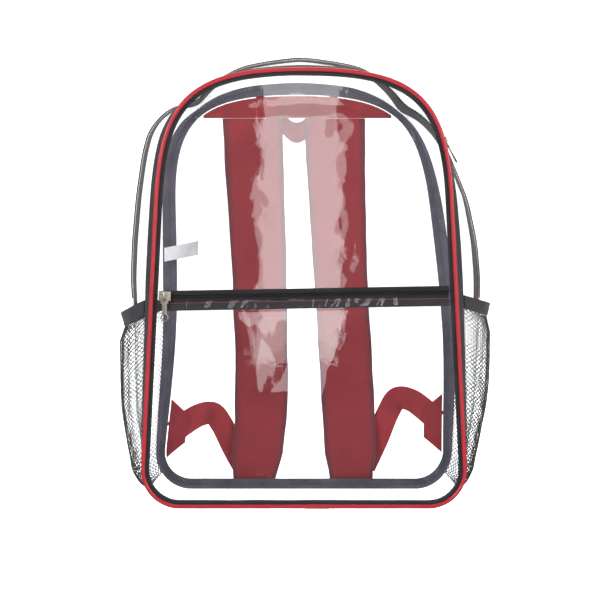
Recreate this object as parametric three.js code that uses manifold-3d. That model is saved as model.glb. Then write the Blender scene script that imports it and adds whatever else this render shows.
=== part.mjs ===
// A clear backpack with red trim, built piece by piece in millimetres, +Z up.
// It stands on its base, its front panel faces -Y, and the shoulder straps hang behind it at +Y.
// Left and right are as seen from the front.

import * as THREE from 'three';
import { mergeVertices } from 'three/addons/utils/BufferGeometryUtils.js';
import Module from 'manifold-3d';

const wasm = await Module();
wasm.setup();

// The seam outline, seen from the front; heights are counted from the base seam where nothing else is said
const bagHeight = 432;
const bottomWidth = 318;
const shoulderWidth = 292;
const shoulderHeight = 303;
const cornerRadius = 36;
const archFullness = 0.77;

// The body between the two seams
const bagDepth = 118;
const seamLift = 5;
const baseFlat = 0.75;
const gussetBulge = 32;
const backSway = 8;
const backRise = 2.5;

// Walls of the materials, and the gap that sewn pieces keep
const sheetWall = 1;
const tapeWall = 1;
const clothWall = 1.5;
const webbingWall = 1.8;
const netWall = 1.2;
const elasticWall = 1.6;
const strapWall = 4.5;
const gap = 0.3;

// Seam tapes and piping
const panelInset = 2;
const seamEase = 1.2;
const panelLeg = 6;
const gussetLeg = 7;
const pipingRadius = 2.5;
const pipingSides = 8;

// Zips
const chainWidth = 5;
const chainHeight = 2;
const sliderWidth = 9.5;
const sliderLength = 12;
const sliderPlate = 1.2;
const mainTapeWidth = 30;
const mainTapeForward = 14;
const mainTapeLap = 5;
const mainTapeTuck = 10;
const mainZipEnd = 204;
const mainSliderHeight = 363;

// Front pocket
const pocketTop = 199.7;
const pocketBulge = 8;
const pocketTilt = 0.0177;
const edgeTapeLow = 195.5;
const edgeTapeHigh = 204;
const pocketTapeLow = 200;
const pocketTapeHigh = 215.5;
const pocketChainLow = 207.5;
const pocketSliderIn = 12;

// Pulls
const pullWidth = 7.7;
const pullLength = 25;
const pullWall = 1.4;
const pullWaist = 4.6;
const pullBar = 1.4;
const slotLength = 5;
const slotWidth = 3.4;
const eyeRadius = 3.1;
const bridgeWidth = 2.4;
const bridgeWall = 1.2;
const bridgeReach = 2.3;

// Net side pockets with their elastic
const netBottom = 15;
const netTop = 208;
const netDip = 16;
const netWaist = 0.55;
const netSeat = 0.6;
const netFullness = 13.5;
const elasticHeight = 13;
const elasticLean = 3;
const netColumns = 5;
const netRows = 8;
const netHoleLow = 0.1;
const netHoleHigh = 0.98;
const netCord = 3.4;

// Back, straps and webbing: the yoke is measured down from the crown of the back, the rest up from the floor
const yokeDepth = 31.5;
const yokeTip = 3;
const strapWidth = 66;
const strapSpread = 45.3;
const strapDrift = 11.3;
const strapEnd = 10;
const strapStand = 20;
const webbingWidth = 25;
const webbingReach = 92;
const webbingApex = 98;
const tabMiddle = 72;
const tabHeight = 65;
const tabLength = 20;
const tabNeck = 31;
const buckleWidth = 34;
const buckleHeight = 27;
const buckleWall = 4;
const buckleFrame = 3.5;
const loopWidth = 23;
const loopSpan = 90;
const loopDrop = 26;
const loopSeat = 0.08;
const loopReach = 20;
const loopFullness = 0.7;
const loopShift = 8;
const loopRaise = 13;

// Care label in the left back seam
const labelLength = 38;
const labelHeight = 15;
const labelWall = 0.8;
const labelLow = 243;
const labelForward = 8;
const labelTilt = 0.19;
const labelCurl = 9;

// How finely curved faces are divided, and how closely a height is looked up
const piecesPerCurve = [2, 5, 6, 9];
const levelPieces = 6;
const roundPieces = 8;
const netPieces = 8;
const loopPieces = 16;
const webbingPieces = 18;
const endPieces = 4;
const eyePieces = 10;
const pocketRises = [0, 0.03, 0.08, 0.15, 0.3, 0.5, 0.7, 0.87, 1];
const halvings = 40;
const levelEase = 1e-6;

// How far the strip between the seams bulges on each side, by share of the way from the base to the crown
const gussetForm = [
  { along: 0.0, left: 0.0, right: 0.0 },
  { along: 0.19, left: 0.0, right: 0.0 },
  { along: 0.262, left: 0.16, right: 0.16 },
  { along: 0.287, left: 0.31, right: 0.31 },
  { along: 0.338, left: 0.56, right: 0.56 },
  { along: 0.384, left: 0.69, right: 0.69 },
  { along: 0.452, left: 0.81, right: 0.81 },
  { along: 0.545, left: 1.0, right: 1.0 },
  { along: 0.6, left: 0.99, right: 0.98 },
  { along: 0.66, left: 0.9, right: 0.8 },
  { along: 0.7, left: 0.82, right: 0.54 },
  { along: 0.763, left: 0.78, right: 0.2 },
  { along: 0.8, left: 0.45, right: -0.05 },
  { along: 0.83, left: -0.1, right: -0.3 },
  { along: 0.91, left: 0.5, right: 0.48 },
  { along: 1.0, left: 0.68, right: 0.68 },
];

// How far the back seam lies to the side of the front seam, by share of the height
const swayForm = [
  { height: 0.0, sway: -0.1 },
  { height: 0.38, sway: 0.72 },
  { height: 1.0, sway: -0.96 },
];

// How full a net pocket stands off the strip behind it, from its foot to the elastic
const netForm = [
  { along: 0.0, fullness: 0.03 },
  { along: 0.04, fullness: 0.6 },
  { along: 0.1, fullness: 0.95 },
  { along: 0.9, fullness: 1.0 },
  { along: 1.0, fullness: netWaist },
];

// The shoulder straps, from the yoke down to the tip
const strapForm = [
  { drop: 0.0, spread: 1.0, drift: -1.0, stand: 0.02, width: 1.0 },
  { drop: 0.12, spread: 1.0, drift: -0.9, stand: 0.4, width: 0.98 },
  { drop: 0.4, spread: 1.0, drift: -0.45, stand: 1.0, width: 0.92 },
  { drop: 0.7, spread: 1.04, drift: 0.0, stand: 0.7, width: 0.88 },
  { drop: 0.84, spread: 1.08, drift: 0.08, stand: 0.35, width: 0.87 },
  { drop: 0.93, spread: 1.14, drift: 0.0, stand: 0.22, width: 0.86 },
  { drop: 1.0, spread: 1.18, drift: -0.13, stand: 0.18, width: 0.7 },
];

// The webbing from the side seam over its arch to the buckle: inward, up, and back from the panel
const webbingForm = [
  { inward: 0.14, up: 0.76, back: 0.0 },
  { inward: 0.24, up: 0.85, back: 0.0 },
  { inward: 0.45, up: 0.99, back: 0.5 },
  { inward: 0.6, up: 1.0, back: 1.0 },
  { inward: 0.7, up: 0.86, back: 1.0 },
  { inward: 0.85, up: 0.52, back: 1.0 },
  { inward: 1.0, up: 0.22, back: 1.0 },
];

// What differs between the two sides of the bag, as shares of the named sizes
const sides = [
  { name: 'left', side: -1, top: 0.976, dip: 1, fullness: 1.1, apex: 0.827, tab: 0.917 },
  { name: 'right', side: 1, top: 1, dip: 0.656, fullness: 0.85, apex: 1, tab: 1 },
];

const clearSheet = { color: 0xf2f5f6, roughness: 0.1, metalness: 0, transparent: true, opacity: 0.3 };
const blackTape = { color: 0x26262b, roughness: 0.85, metalness: 0 };
const blackCoil = { color: 0x1b1b1f, roughness: 0.5, metalness: 0 };
const blackPlastic = { color: 0x17171a, roughness: 0.45, metalness: 0 };
const redPiping = { color: 0xc8323c, roughness: 0.4, metalness: 0 };
const redCloth = { color: 0xa82e35, roughness: 0.85, metalness: 0 };
const brightMetal = { color: 0xe2dacb, roughness: 0.25, metalness: 1 };
const whiteSatin = { color: 0xdedfe2, roughness: 0.6, metalness: 0 };

const halfDepth = bagDepth / 2;
const bag = new THREE.Group();

function addPiece(name, geometry, finish, parent = bag) {
  const mesh = new THREE.Mesh(geometry, new THREE.MeshStandardMaterial(finish));
  mesh.name = name;
  parent.add(mesh);
  return mesh;
}

// A table's value between two rows: along a straight line, or eased so that each row is a turning point
function readTable(rows, key, value, at, eased = false) {
  const next = rows.findIndex((row) => row[key] >= at);
  if (next === 0) {
    return rows[0][value];
  }
  if (next < 0) {
    return rows.at(-1)[value];
  }
  const share = (at - rows[next - 1][key]) / (rows[next][key] - rows[next - 1][key]);
  const blend = eased ? THREE.MathUtils.smoothstep(share, 0, 1) : share;
  return THREE.MathUtils.lerp(rows[next - 1][value], rows[next][value], blend);
}

function evenly(count, from = 0, to = 1) {
  return Array.from({ length: count + 1 }, (_, i) => THREE.MathUtils.lerp(from, to, i / count));
}

// Solids from points and faces, turned so that the faces point outwards
function solidGeometry(points, faces) {
  let volume = 0;
  for (const [a, b, c] of faces) {
    volume += points[a].dot(new THREE.Vector3().crossVectors(points[b], points[c]));
  }
  const outward = volume > 0 ? faces : faces.map(([a, b, c]) => [a, c, b]);
  const geometry = new THREE.BufferGeometry().setFromPoints(points);
  geometry.setIndex(outward.flat());
  geometry.computeVertexNormals();
  return geometry;
}

// A sheet over a grid of places, with an inner face 0, an outer face 1 and a rim
function gridSolid(us, vs, place) {
  const points = [];
  for (const face of [0, 1]) {
    for (const u of us) {
      for (const v of vs) {
        points.push(place(u, v, face));
      }
    }
  }
  const at = (i, j, face) => (face * us.length + i) * vs.length + j;
  const faces = [];
  const quad = (a, b, c, d) => faces.push([a, b, c], [a, c, d]);
  const lastU = us.length - 1;
  const lastV = vs.length - 1;
  for (let i = 0; i < lastU; i += 1) {
    for (let j = 0; j < lastV; j += 1) {
      quad(at(i, j, 1), at(i + 1, j, 1), at(i + 1, j + 1, 1), at(i, j + 1, 1));
      quad(at(i, j, 0), at(i, j + 1, 0), at(i + 1, j + 1, 0), at(i + 1, j, 0));
    }
    quad(at(i, 0, 0), at(i + 1, 0, 0), at(i + 1, 0, 1), at(i, 0, 1));
    quad(at(i + 1, lastV, 0), at(i, lastV, 0), at(i, lastV, 1), at(i + 1, lastV, 1));
  }
  for (let j = 0; j < lastV; j += 1) {
    quad(at(0, j + 1, 0), at(0, j, 0), at(0, j, 1), at(0, j + 1, 1));
    quad(at(lastU, j, 0), at(lastU, j + 1, 0), at(lastU, j + 1, 1), at(lastU, j, 1));
  }
  return solidGeometry(points, faces);
}

// A section carried along stations, closed on itself or capped at both ends
function sweepSolid(stations, section, loop) {
  const rings = stations.map(section);
  const size = rings[0].length;
  const points = rings.flat();
  const faces = [];
  const last = loop ? stations.length : stations.length - 1;
  for (let i = 0; i < last; i += 1) {
    const here = i * size;
    const there = ((i + 1) % stations.length) * size;
    for (let k = 0; k < size; k += 1) {
      const next = (k + 1) % size;
      faces.push([here + k, there + k, there + next], [here + k, there + next, here + next]);
    }
  }
  if (!loop) {
    const end = (stations.length - 1) * size;
    for (let k = 1; k + 1 < size; k += 1) {
      faces.push([0, k, k + 1], [end, end + k + 1, end + k]);
    }
  }
  return solidGeometry(points, faces);
}

function manifoldOf(geometry) {
  const bare = geometry.clone();
  bare.deleteAttribute('normal');
  bare.deleteAttribute('uv');
  const merged = mergeVertices(bare);
  const vertProperties = new Float32Array(merged.attributes.position.array);
  const triVerts = new Uint32Array(merged.index.array);
  return new wasm.Manifold(new wasm.Mesh({ numProp: 3, vertProperties, triVerts }));
}

function geometryOf(manifold) {
  const mesh = manifold.getMesh();
  const geometry = new THREE.BufferGeometry();
  geometry.setAttribute('position', new THREE.BufferAttribute(mesh.vertProperties, 3));
  geometry.setIndex(new THREE.BufferAttribute(mesh.triVerts, 1));
  geometry.computeVertexNormals();
  return geometry;
}

// A box between two corners
function boxBetween(low, high) {
  const box = new THREE.BoxGeometry(high[0] - low[0], high[1] - low[1], high[2] - low[2]);
  box.translate((high[0] + low[0]) / 2, (high[1] + low[1]) / 2, (high[2] + low[2]) / 2);
  return manifoldOf(box);
}

// Half of the seam, from the middle of the base over the right side to the crown
const halfSeam = new THREE.Path();
const cornerCentre = new THREE.Vector2(bottomWidth / 2 - cornerRadius, cornerRadius);
const shoulder = new THREE.Vector2(shoulderWidth / 2, shoulderHeight);
const toShoulder = shoulder.clone().sub(cornerCentre);
const sideLean = toShoulder.angle() - Math.acos(cornerRadius / toShoulder.length());
const archRise = (bagHeight - shoulderHeight) * archFullness;
halfSeam.moveTo(0, 0);
halfSeam.lineTo(cornerCentre.x, 0);
halfSeam.absarc(cornerCentre.x, cornerCentre.y, cornerRadius, -Math.PI / 2, sideLean, false);
halfSeam.lineTo(shoulder.x, shoulder.y);
halfSeam.bezierCurveTo(
  shoulder.x - Math.sin(sideLean) * archRise,
  shoulder.y + Math.cos(sideLean) * archRise,
  (shoulderWidth / 2) * archFullness,
  bagHeight,
  0,
  bagHeight,
);

// Stations along the seam: shares of the half seam, negative on the left
const curveEnds = halfSeam.getCurveLengths();
const halfStations = [];
piecesPerCurve.forEach((count, curve) => {
  const from = curve === 0 ? 0 : curveEnds[curve - 1];
  halfStations.push(...evenly(count, from, curveEnds[curve]).slice(1));
});
const rightStations = halfStations.map((length) => length / halfSeam.getLength());
const leftStations = rightStations.slice(0, -1).map((share) => -share).reverse();
const loopStations = [...leftStations, 0, ...rightStations];

function stationsBetween(from, to) {
  return [from, ...loopStations.filter((share) => share > from && share < to), to];
}

// A place out from the seam of one face, -1 the front or 1 the back, and beyond that face
function edgePoint(share, face, out, beyond) {
  const along = Math.abs(share);
  const point = halfSeam.getPoint(along);
  const tangent = halfSeam.getTangent(along);
  const height = point.y - tangent.x * out;
  const shift = ((face + 1) / 2) * readTable(swayForm, 'height', 'sway', height / bagHeight, true);
  return new THREE.Vector3(
    Math.sign(share) * (point.x + tangent.y * out) + backSway * shift,
    face * (halfDepth + beyond),
    seamLift + height + ((face + 1) / 2) * backRise * (height / bagHeight),
  );
}

// A place on the strip between the seams, across from -1 at the front to 1 at the back, lifted off it
function gussetPoint(share, across, lift = 0) {
  const along = Math.abs(share);
  const front = edgePoint(share, -1, 0, 0);
  const back = edgePoint(share, 1, 0, 0);
  const tangent = halfSeam.getTangent(along);
  const out = new THREE.Vector3(Math.sign(share) * tangent.y, 0, -tangent.x);
  const roundness = 1 - across * across;
  const sag = seamLift * Math.max(0, tangent.x) ** 2 * Math.min(1, roundness / (1 - baseFlat ** 2));
  const side = share < 0 ? 'left' : 'right';
  const bulge = gussetBulge * readTable(gussetForm, 'along', side, along) * roundness;
  return front.lerp(back, (across + 1) / 2).addScaledVector(out, bulge + sag + lift);
}

function shareAtHeight(height, out = 0) {
  let low = 0;
  let high = 1;
  for (let halving = 0; halving < halvings; halving += 1) {
    const middle = (low + high) / 2;
    if (edgePoint(middle, -1, out, 0).z - seamLift > height + levelEase) {
      high = middle;
    } else {
      low = middle;
    }
  }
  return low;
}

// Shares across the strip at a distance from one face's seam
function acrossFrom(face, distance) {
  return face * (1 - distance / halfDepth);
}

// Clear panels, each a flat sheet in the outline of the seam
function panelSolid(face) {
  const middle = new THREE.Vector3(0, 0, seamLift + bagHeight / 2);
  const rim = (depth) => loopStations.map((share) => edgePoint(share, face, -panelInset, depth));
  const count = loopStations.length;
  const points = [...rim(-sheetWall), ...rim(0)];
  points.push(middle.clone().setY(face * (halfDepth - sheetWall)), middle.clone().setY(face * halfDepth));
  const faces = [];
  for (let i = 0; i < count; i += 1) {
    const next = (i + 1) % count;
    faces.push([2 * count, next, i], [2 * count + 1, count + i, count + next]);
    faces.push([i, next, count + next], [i, count + next, count + i]);
  }
  return solidGeometry(points, faces);
}

addPiece('front_panel', panelSolid(-1), clearSheet);
addPiece('back_panel', panelSolid(1), clearSheet);

// Woven tape folded round a seam, one leg on the panel and one on the strip
function bindingSolid(face) {
  const across = acrossFrom(face, gussetLeg);
  const outer = gap + tapeWall;
  const section = (share) => {
    const corners = [
      edgePoint(share, face, -panelLeg, gap),
      edgePoint(share, face, -panelLeg, outer),
      edgePoint(share, face, outer, outer),
      gussetPoint(share, across, outer),
      gussetPoint(share, across, gap),
      edgePoint(share, face, gap, gap),
    ];
    // In this order its facets fold along the same diagonals as the strip's under it
    return face < 0 ? corners.reverse() : corners;
  };
  return sweepSolid(loopStations, section, true);
}

addPiece('front_binding', bindingSolid(-1), blackTape);
addPiece('back_binding', bindingSolid(1), blackTape);

// Round piping that lies on the front tape along the seam
function pipingSection(share) {
  const beyond = gap + tapeWall + gap + pipingRadius;
  return evenly(pipingSides).slice(1).map((turn) => {
    const angle = 2 * Math.PI * turn;
    return edgePoint(share, -1, pipingRadius * Math.cos(angle), beyond + pipingRadius * Math.sin(angle));
  });
}

addPiece('front_piping', sweepSolid(loopStations, pipingSection, true), redPiping);

// Clear strips between the seams: one round the base, two beside the main zip
const zipAcross = -mainTapeForward / halfDepth;
const tapeFront = zipAcross - mainTapeWidth / 2 / halfDepth;
const tapeRear = zipAcross + mainTapeWidth / 2 / halfDepth;
const lapFront = tapeFront + mainTapeLap / halfDepth;
const lapRear = tapeRear - mainTapeLap / halfDepth;
const zipShare = shareAtHeight(mainZipEnd);
const tuckShare = shareAtHeight(mainZipEnd - mainTapeTuck);
const seatShare = gap / halfSeam.getLength();
const topStations = [
  ...stationsBetween(zipShare + seatShare, 1),
  ...stationsBetween(-1, -zipShare - seatShare).slice(1),
];
const tapeStations = [...stationsBetween(tuckShare, 1), ...stationsBetween(-1, -tuckShare).slice(1)];

function stripSolid(shares, across, outer, inner) {
  return gridSolid(shares, across, (share, depth, face) => gussetPoint(share, depth, face ? outer : inner));
}

const legFront = acrossFrom(-1, gussetLeg);
const legRear = acrossFrom(1, gussetLeg);
const midRear = (tapeRear + baseFlat) / 2;
const tapeAcross = [tapeFront, lapFront, zipAcross, lapRear, tapeRear];
const baseAcross = [-1, legFront, -baseFlat, ...tapeAcross, midRear, baseFlat, legRear, 1];
const topFrontAcross = [-1, legFront, -baseFlat, tapeFront, lapFront];
const topRearAcross = [lapRear, tapeRear, midRear, baseFlat, legRear, 1];
const tapeLift = -sheetWall - gap;
const baseStations = stationsBetween(-zipShare, zipShare);
addPiece('base_gusset', stripSolid(baseStations, baseAcross, 0, -sheetWall), clearSheet);
addPiece('top_gusset_front', stripSolid(topStations, topFrontAcross, 0, -sheetWall), clearSheet);
addPiece('top_gusset_rear', stripSolid(topStations, topRearAcross, 0, -sheetWall), clearSheet);

// Main zip under the strips, with its coil in the gap between them
addPiece('main_zip_tape', stripSolid(tapeStations, tapeAcross, tapeLift, tapeLift - tapeWall), blackTape);
const chainHalf = chainWidth / 2 / halfDepth;
const chainLift = tapeLift + gap;
const chainAcross = [zipAcross - chainHalf, zipAcross + chainHalf];
const chainTop = chainLift + chainHeight;
addPiece('main_zip_chain', stripSolid(topStations, chainAcross, chainTop, chainLift), blackCoil);

// Pocket of a second clear sheet over the low half of the front
function frontWidth(height, inset) {
  return edgePoint(shareAtHeight(height, -inset), -1, -inset, 0).x;
}

const pocketInset = panelLeg + seamEase;

function tilted(height, x) {
  return height + pocketTilt * x;
}

// A strip on the front between two heights, with its layers counted out from the front panel
function frontStrip(low, high, inner, outer, inset = pocketInset) {
  const reach = frontWidth((low + high) / 2, inset);
  return gridSolid(evenly(levelPieces, -reach, reach), [low, high], (x, height, face) => {
    const y = -halfDepth - (face ? outer : inner);
    return new THREE.Vector3(x, y, seamLift + tilted(height, x));
  });
}

function pocketLayer(across, height) {
  const rise = (height - pocketInset) / (pocketTop - pocketInset);
  return gap + pocketBulge * Math.sin(Math.PI * rise) * (1 - across * across);
}

const pocketHeights = pocketRises.map((rise) => THREE.MathUtils.lerp(pocketInset, pocketTop, rise));
const pocketPanel = gridSolid(evenly(roundPieces, -1, 1), pocketHeights, (across, height, face) => {
  const x = across * frontWidth(height, pocketInset);
  const y = -halfDepth - pocketLayer(across, height) - (face ? sheetWall : 0);
  const tilt = (tilted(height, x) - height) * (height / pocketTop);
  return new THREE.Vector3(x, y, seamLift + height + tilt);
});
addPiece('pocket_panel', pocketPanel, clearSheet);

const zipLayer = gap + tapeWall;
const edgeLayer = pocketLayer(0, edgeTapeLow) + sheetWall + gap;
addPiece('pocket_zip_tape', frontStrip(pocketTapeLow, pocketTapeHigh, gap, zipLayer), blackTape);
const edgeTape = frontStrip(edgeTapeLow, edgeTapeHigh, edgeLayer, edgeLayer + tapeWall);
addPiece('pocket_edge_tape', edgeTape, blackTape);
const coilLayer = zipLayer + gap;
const coil = frontStrip(pocketChainLow, pocketChainLow + chainWidth, coilLayer, coilLayer + chainHeight);
addPiece('pocket_zip_chain', coil, blackCoil);

// Sliders and pulls, each built at its own place: X across the coil, -Y off it, Z along it
const sliderTop = chainHeight + gap + sliderPlate;
const axisHeight = sliderTop + gap + pullBar / 2 + gap;
const bridgeTop = axisHeight + pullBar / 2 + gap + bridgeWall;
const bridgeInner = bridgeReach + gap;

function sliderSolid(coilIsLevel) {
  // Half sizes across and along the coil, turned where the coil runs level and the pull hangs across it
  const turned = (across, along) => (coilIsLevel ? [along, across] : [across, along]);
  const saddle = ([x, z], top, foot) => boxBetween([-x, -top, -z], [x, foot, z]);
  const body = saddle(turned(sliderWidth / 2, sliderLength / 2), sliderTop, 0);
  const channel = saddle(turned(chainWidth / 2 + gap, sliderLength), chainHeight + gap, sliderPlate);
  const end = bridgeInner + bridgeWall;
  const half = bridgeWidth / 2;
  const bridge = boxBetween([-half, -bridgeTop, -end], [half, -chainHeight - gap, end]);
  const under = bridgeWall - bridgeTop;
  const room = boxBetween([-bridgeWidth, under, -bridgeInner], [bridgeWidth, -sliderTop, bridgeInner]);
  return geometryOf(body.subtract(channel).add(bridge.subtract(room)));
}

function pullSolid() {
  const half = pullWidth / 2;
  const neckSide = (3 * Math.PI) / 4;
  const shape = new THREE.Shape();
  shape.moveTo(-half, pullBar / 2);
  shape.lineTo(-half, -slotLength - pullBar);
  shape.lineTo(-pullWaist / 2, -slotLength - 2 * pullBar);
  shape.lineTo(-pullWaist / 2, -pullLength + 2 * half);
  shape.absarc(0, -pullLength + half, half, neckSide, 3 * Math.PI - neckSide, false);
  shape.lineTo(pullWaist / 2, -pullLength + 2 * half);
  shape.lineTo(pullWaist / 2, -slotLength - 2 * pullBar);
  shape.lineTo(half, -slotLength - pullBar);
  shape.lineTo(half, pullBar / 2);
  const slot = new THREE.Path();
  slot.moveTo(-slotWidth / 2, -pullBar / 2);
  slot.lineTo(slotWidth / 2, -pullBar / 2);
  slot.lineTo(slotWidth / 2, -slotLength);
  slot.lineTo(-slotWidth / 2, -slotLength);
  const eye = new THREE.Path().absarc(0, -pullLength + half, eyeRadius, 0, Math.PI * 2, true);
  shape.holes.push(slot, eye);
  const extrusion = { depth: pullWall, bevelEnabled: false, curveSegments: eyePieces };
  const plate = new THREE.ExtrudeGeometry(shape, extrusion);
  plate.translate(0, 0, -pullWall / 2);
  plate.rotateX(Math.PI / 2);
  plate.translate(0, -axisHeight, 0);
  return plate;
}

function addZipSlider(sliderName, pullName, coilIsLevel, frame) {
  const place = new THREE.Group();
  place.applyMatrix4(frame);
  bag.add(place);
  addPiece(sliderName, sliderSolid(coilIsLevel), brightMetal, place);
  addPiece(pullName, pullSolid(), brightMetal, place);
}

const pocketSliderX = -frontWidth(pocketChainLow, pocketInset) + pocketSliderIn - sliderLength / 2;
const pocketSliderZ = seamLift + tilted(pocketChainLow + chainWidth / 2, pocketSliderX);
const pocketPlace = new THREE.Vector3(pocketSliderX, -halfDepth - coilLayer, pocketSliderZ);
addZipSlider('pocket_slider', 'pocket_pull', true, new THREE.Matrix4().setPosition(pocketPlace));

// The main slider stands on the coil at its place on the right, in line with the coil that its
// pull hangs along. Its seat is found on the straight facets between the stations
function coilPoint(height, across = zipAcross) {
  const share = shareAtHeight(height);
  const next = loopStations.findIndex((station) => station > share);
  const [from, to] = loopStations.slice(next - 1, next + 1);
  const start = gussetPoint(from, across, chainLift);
  return start.lerp(gussetPoint(to, across, chainLift), (share - from) / (to - from));
}

const mainPlace = coilPoint(mainSliderHeight);
const mainUp = mainPlace.clone().sub(coilPoint(mainSliderHeight - pullLength)).normalize();
const zipRow = chainAcross.map((across) => coilPoint(mainSliderHeight, across));
const mainInward = new THREE.Vector3().crossVectors(mainUp, zipRow[1].sub(zipRow[0])).normalize();
const mainRight = new THREE.Vector3().crossVectors(mainInward, mainUp);

// It is lifted until the coil and the tape are clear of it from end to end
const sliderAlong = evenly(endPieces, -sliderLength / 2, sliderLength / 2);
const sliderAcross = [-1, 0, 1].map((side) => zipAcross + (side * sliderWidth) / 2 / halfDepth);
const mainUnder = sliderAlong.flatMap((along) =>
  sliderAcross.map((across) => coilPoint(mainSliderHeight + along, across)),
);
const mainRise = Math.max(0, ...mainUnder.map((point) => mainPlace.clone().sub(point).dot(mainInward)));
mainPlace.addScaledVector(mainInward, -mainRise);
const mainFrame = new THREE.Matrix4().makeBasis(mainRight, mainInward, mainUp).setPosition(mainPlace);
addZipSlider('main_slider', 'main_pull', false, mainFrame);

// Net side pockets, sewn to the strip beside both tapes, with diamond openings and a wide elastic on top
const netFront = acrossFrom(-1, gussetLeg + gap);
const netRear = acrossFrom(1, gussetLeg + gap);

function netPoint(side, along, over, lift) {
  const round = 1 - over * over;
  const top = netTop * side.top - netDip * side.dip * round - elasticHeight - gap;
  const share = THREE.MathUtils.lerp(shareAtHeight(netBottom), shareAtHeight(top), along);
  const across = THREE.MathUtils.lerp(netFront, netRear, (over + 1) / 2);
  const stand = netFullness * side.fullness * readTable(netForm, 'along', 'fullness', along) * round;
  return gussetPoint(side.side * share, across, netSeat + stand + lift);
}

// One diamond opening as a short prism that reaches well through the curved net
const punchIn = -2 * netWall;
const punchOut = 5 * netWall;

function netHole(side, along, over, halfAlong, halfOver) {
  const corners = [
    [along - halfAlong, over],
    [along, over + halfOver],
    [along + halfAlong, over],
    [along, over - halfOver],
  ];
  const ring = (lift) => corners.map(([a, o]) => netPoint(side, a, o, lift));
  return manifoldOf(sweepSolid([punchIn, punchOut], ring, false));
}

function netSolid(side) {
  const place = (along, over, face) => netPoint(side, along, over, face * netWall);
  const [foot, low, full, high, top] = netForm.map((row) => row.along);
  const alongs = [foot, low, ...evenly(netPieces, full, high), top];
  let net = manifoldOf(gridSolid(alongs, evenly(roundPieces, -1, 1), place));
  const rowStep = (netHoleHigh - netHoleLow) / (netRows + 1);
  const columnStep = 2 / netColumns;
  const netLength = netTop * side.top - netDip * side.dip - elasticHeight - netBottom;
  const halfAlong = rowStep - netCord / netLength;
  const halfOver = columnStep / 2 - netCord / halfDepth;
  for (let row = 0; row < netRows; row += 1) {
    const shifted = row % 2;
    for (let column = 0; column < netColumns - shifted; column += 1) {
      const over = (column + (1 + shifted) / 2) * columnStep - 1;
      net = net.subtract(netHole(side, netHoleLow + (row + 1) * rowStep, over, halfAlong, halfOver));
    }
  }
  return geometryOf(net);
}

function elasticSolid(side) {
  return gridSolid([0, 1], evenly(roundPieces, -1, 1), (up, over, face) => {
    const round = 1 - over * over;
    const height = netTop * side.top - netDip * side.dip * round - elasticHeight * (1 - up);
    const across = THREE.MathUtils.lerp(netFront, netRear, (over + 1) / 2);
    const stand = (netFullness * side.fullness * netWaist + elasticLean * up) * round;
    return gussetPoint(side.side * shareAtHeight(height), across, netSeat + stand + face * elasticWall);
  });
}

// The yoke fills the arch of the back above its lower edge
const yokeLow = seamLift + bagHeight + backRise - yokeDepth;

function yokeSolid() {
  const inset = panelLeg + seamEase;
  const end = shareAtHeight(yokeLow + yokeTip - seamLift - backRise, -inset);
  const stations = [...stationsBetween(end, 1), ...stationsBetween(-1, -end).slice(1)];
  return gridSolid(stations, [0, 1], (share, up, face) => {
    const top = edgePoint(share, 1, -inset, gap + face * clothWall);
    return top.setZ(THREE.MathUtils.lerp(yokeLow, top.z, up));
  });
}

addPiece('yoke', yokeSolid(), redCloth);

// The haul loop is sewn to the yoke at both ends and hangs out behind it
const haulLoop = gridSolid(evenly(loopPieces), [-1, 1], (along, edge, face) => {
  const free = THREE.MathUtils.clamp((along - loopSeat) / (1 - 2 * loopSeat), 0, 1);
  const arch = Math.sin(Math.PI * free);
  return new THREE.Vector3(
    loopSpan * (along - 0.5) - loopShift,
    halfDepth + gap + clothWall + gap + loopReach * arch ** loopFullness + face * webbingWall,
    yokeLow + loopRaise - loopDrop * arch ** 2 + (edge * loopWidth) / 2,
  );
});
addPiece('haul_loop', haulLoop, redCloth);

// Straps hang from the yoke, away from the back panel
const strapTop = yokeLow - gap;

function strapPlace(side, drop) {
  const read = (value) => readTable(strapForm, 'drop', value, drop);
  return {
    x: side.side * strapSpread * read('spread') + strapDrift * read('drift'),
    y: halfDepth + gap + strapStand * read('stand'),
    z: THREE.MathUtils.lerp(strapTop, strapEnd, drop),
    halfWidth: (strapWidth / 2) * read('width'),
  };
}

// The rows of the table with one more halfway between each two
const strapDrops = strapForm.flatMap(({ drop }, row) => {
  const before = strapForm[Math.max(0, row - 1)].drop;
  return row === 0 ? [drop] : [(before + drop) / 2, drop];
});

function strapSolid(side) {
  return gridSolid(strapDrops, [-1, 1], (drop, edge, face) => {
    const place = strapPlace(side, drop);
    return new THREE.Vector3(place.x + edge * place.halfWidth, place.y + face * strapWall, place.z);
  });
}

// The webbing starts on its tab, arches over and ends behind the buckle
const webbingSeat = halfDepth + gap + clothWall + gap;
const buckleDrop = (strapTop - strapEnd - buckleHeight) / (strapTop - strapEnd);

function buckleFront(side) {
  return strapPlace(side, buckleDrop).y + strapWall + gap;
}

function seamReach(side) {
  return Math.abs(edgePoint(side.side * shareAtHeight(tabMiddle * side.tab - seamLift), 1, 0, 0).x);
}

function webbingCurve(side) {
  const behind = buckleFront(side) + buckleWall + gap;
  const points = webbingForm.map((row) => {
    const x = side.side * (seamReach(side) - webbingReach * row.inward);
    const y = THREE.MathUtils.lerp(webbingSeat, behind, row.back);
    return new THREE.Vector3(x, y, webbingApex * side.apex * row.up);
  });
  return new THREE.CatmullRomCurve3(points, false, 'centripetal');
}

function webbingSolid(side) {
  const curve = webbingCurve(side);
  return gridSolid(evenly(webbingPieces), [-1, 1], (along, edge, face) => {
    const tangent = curve.getTangentAt(along);
    const across = new THREE.Vector3(tangent.z, 0, -tangent.x).normalize();
    const place = curve.getPointAt(along).addScaledVector(across, (edge * webbingWidth) / 2);
    return place.setY(place.y + face * webbingWall);
  });
}

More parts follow.
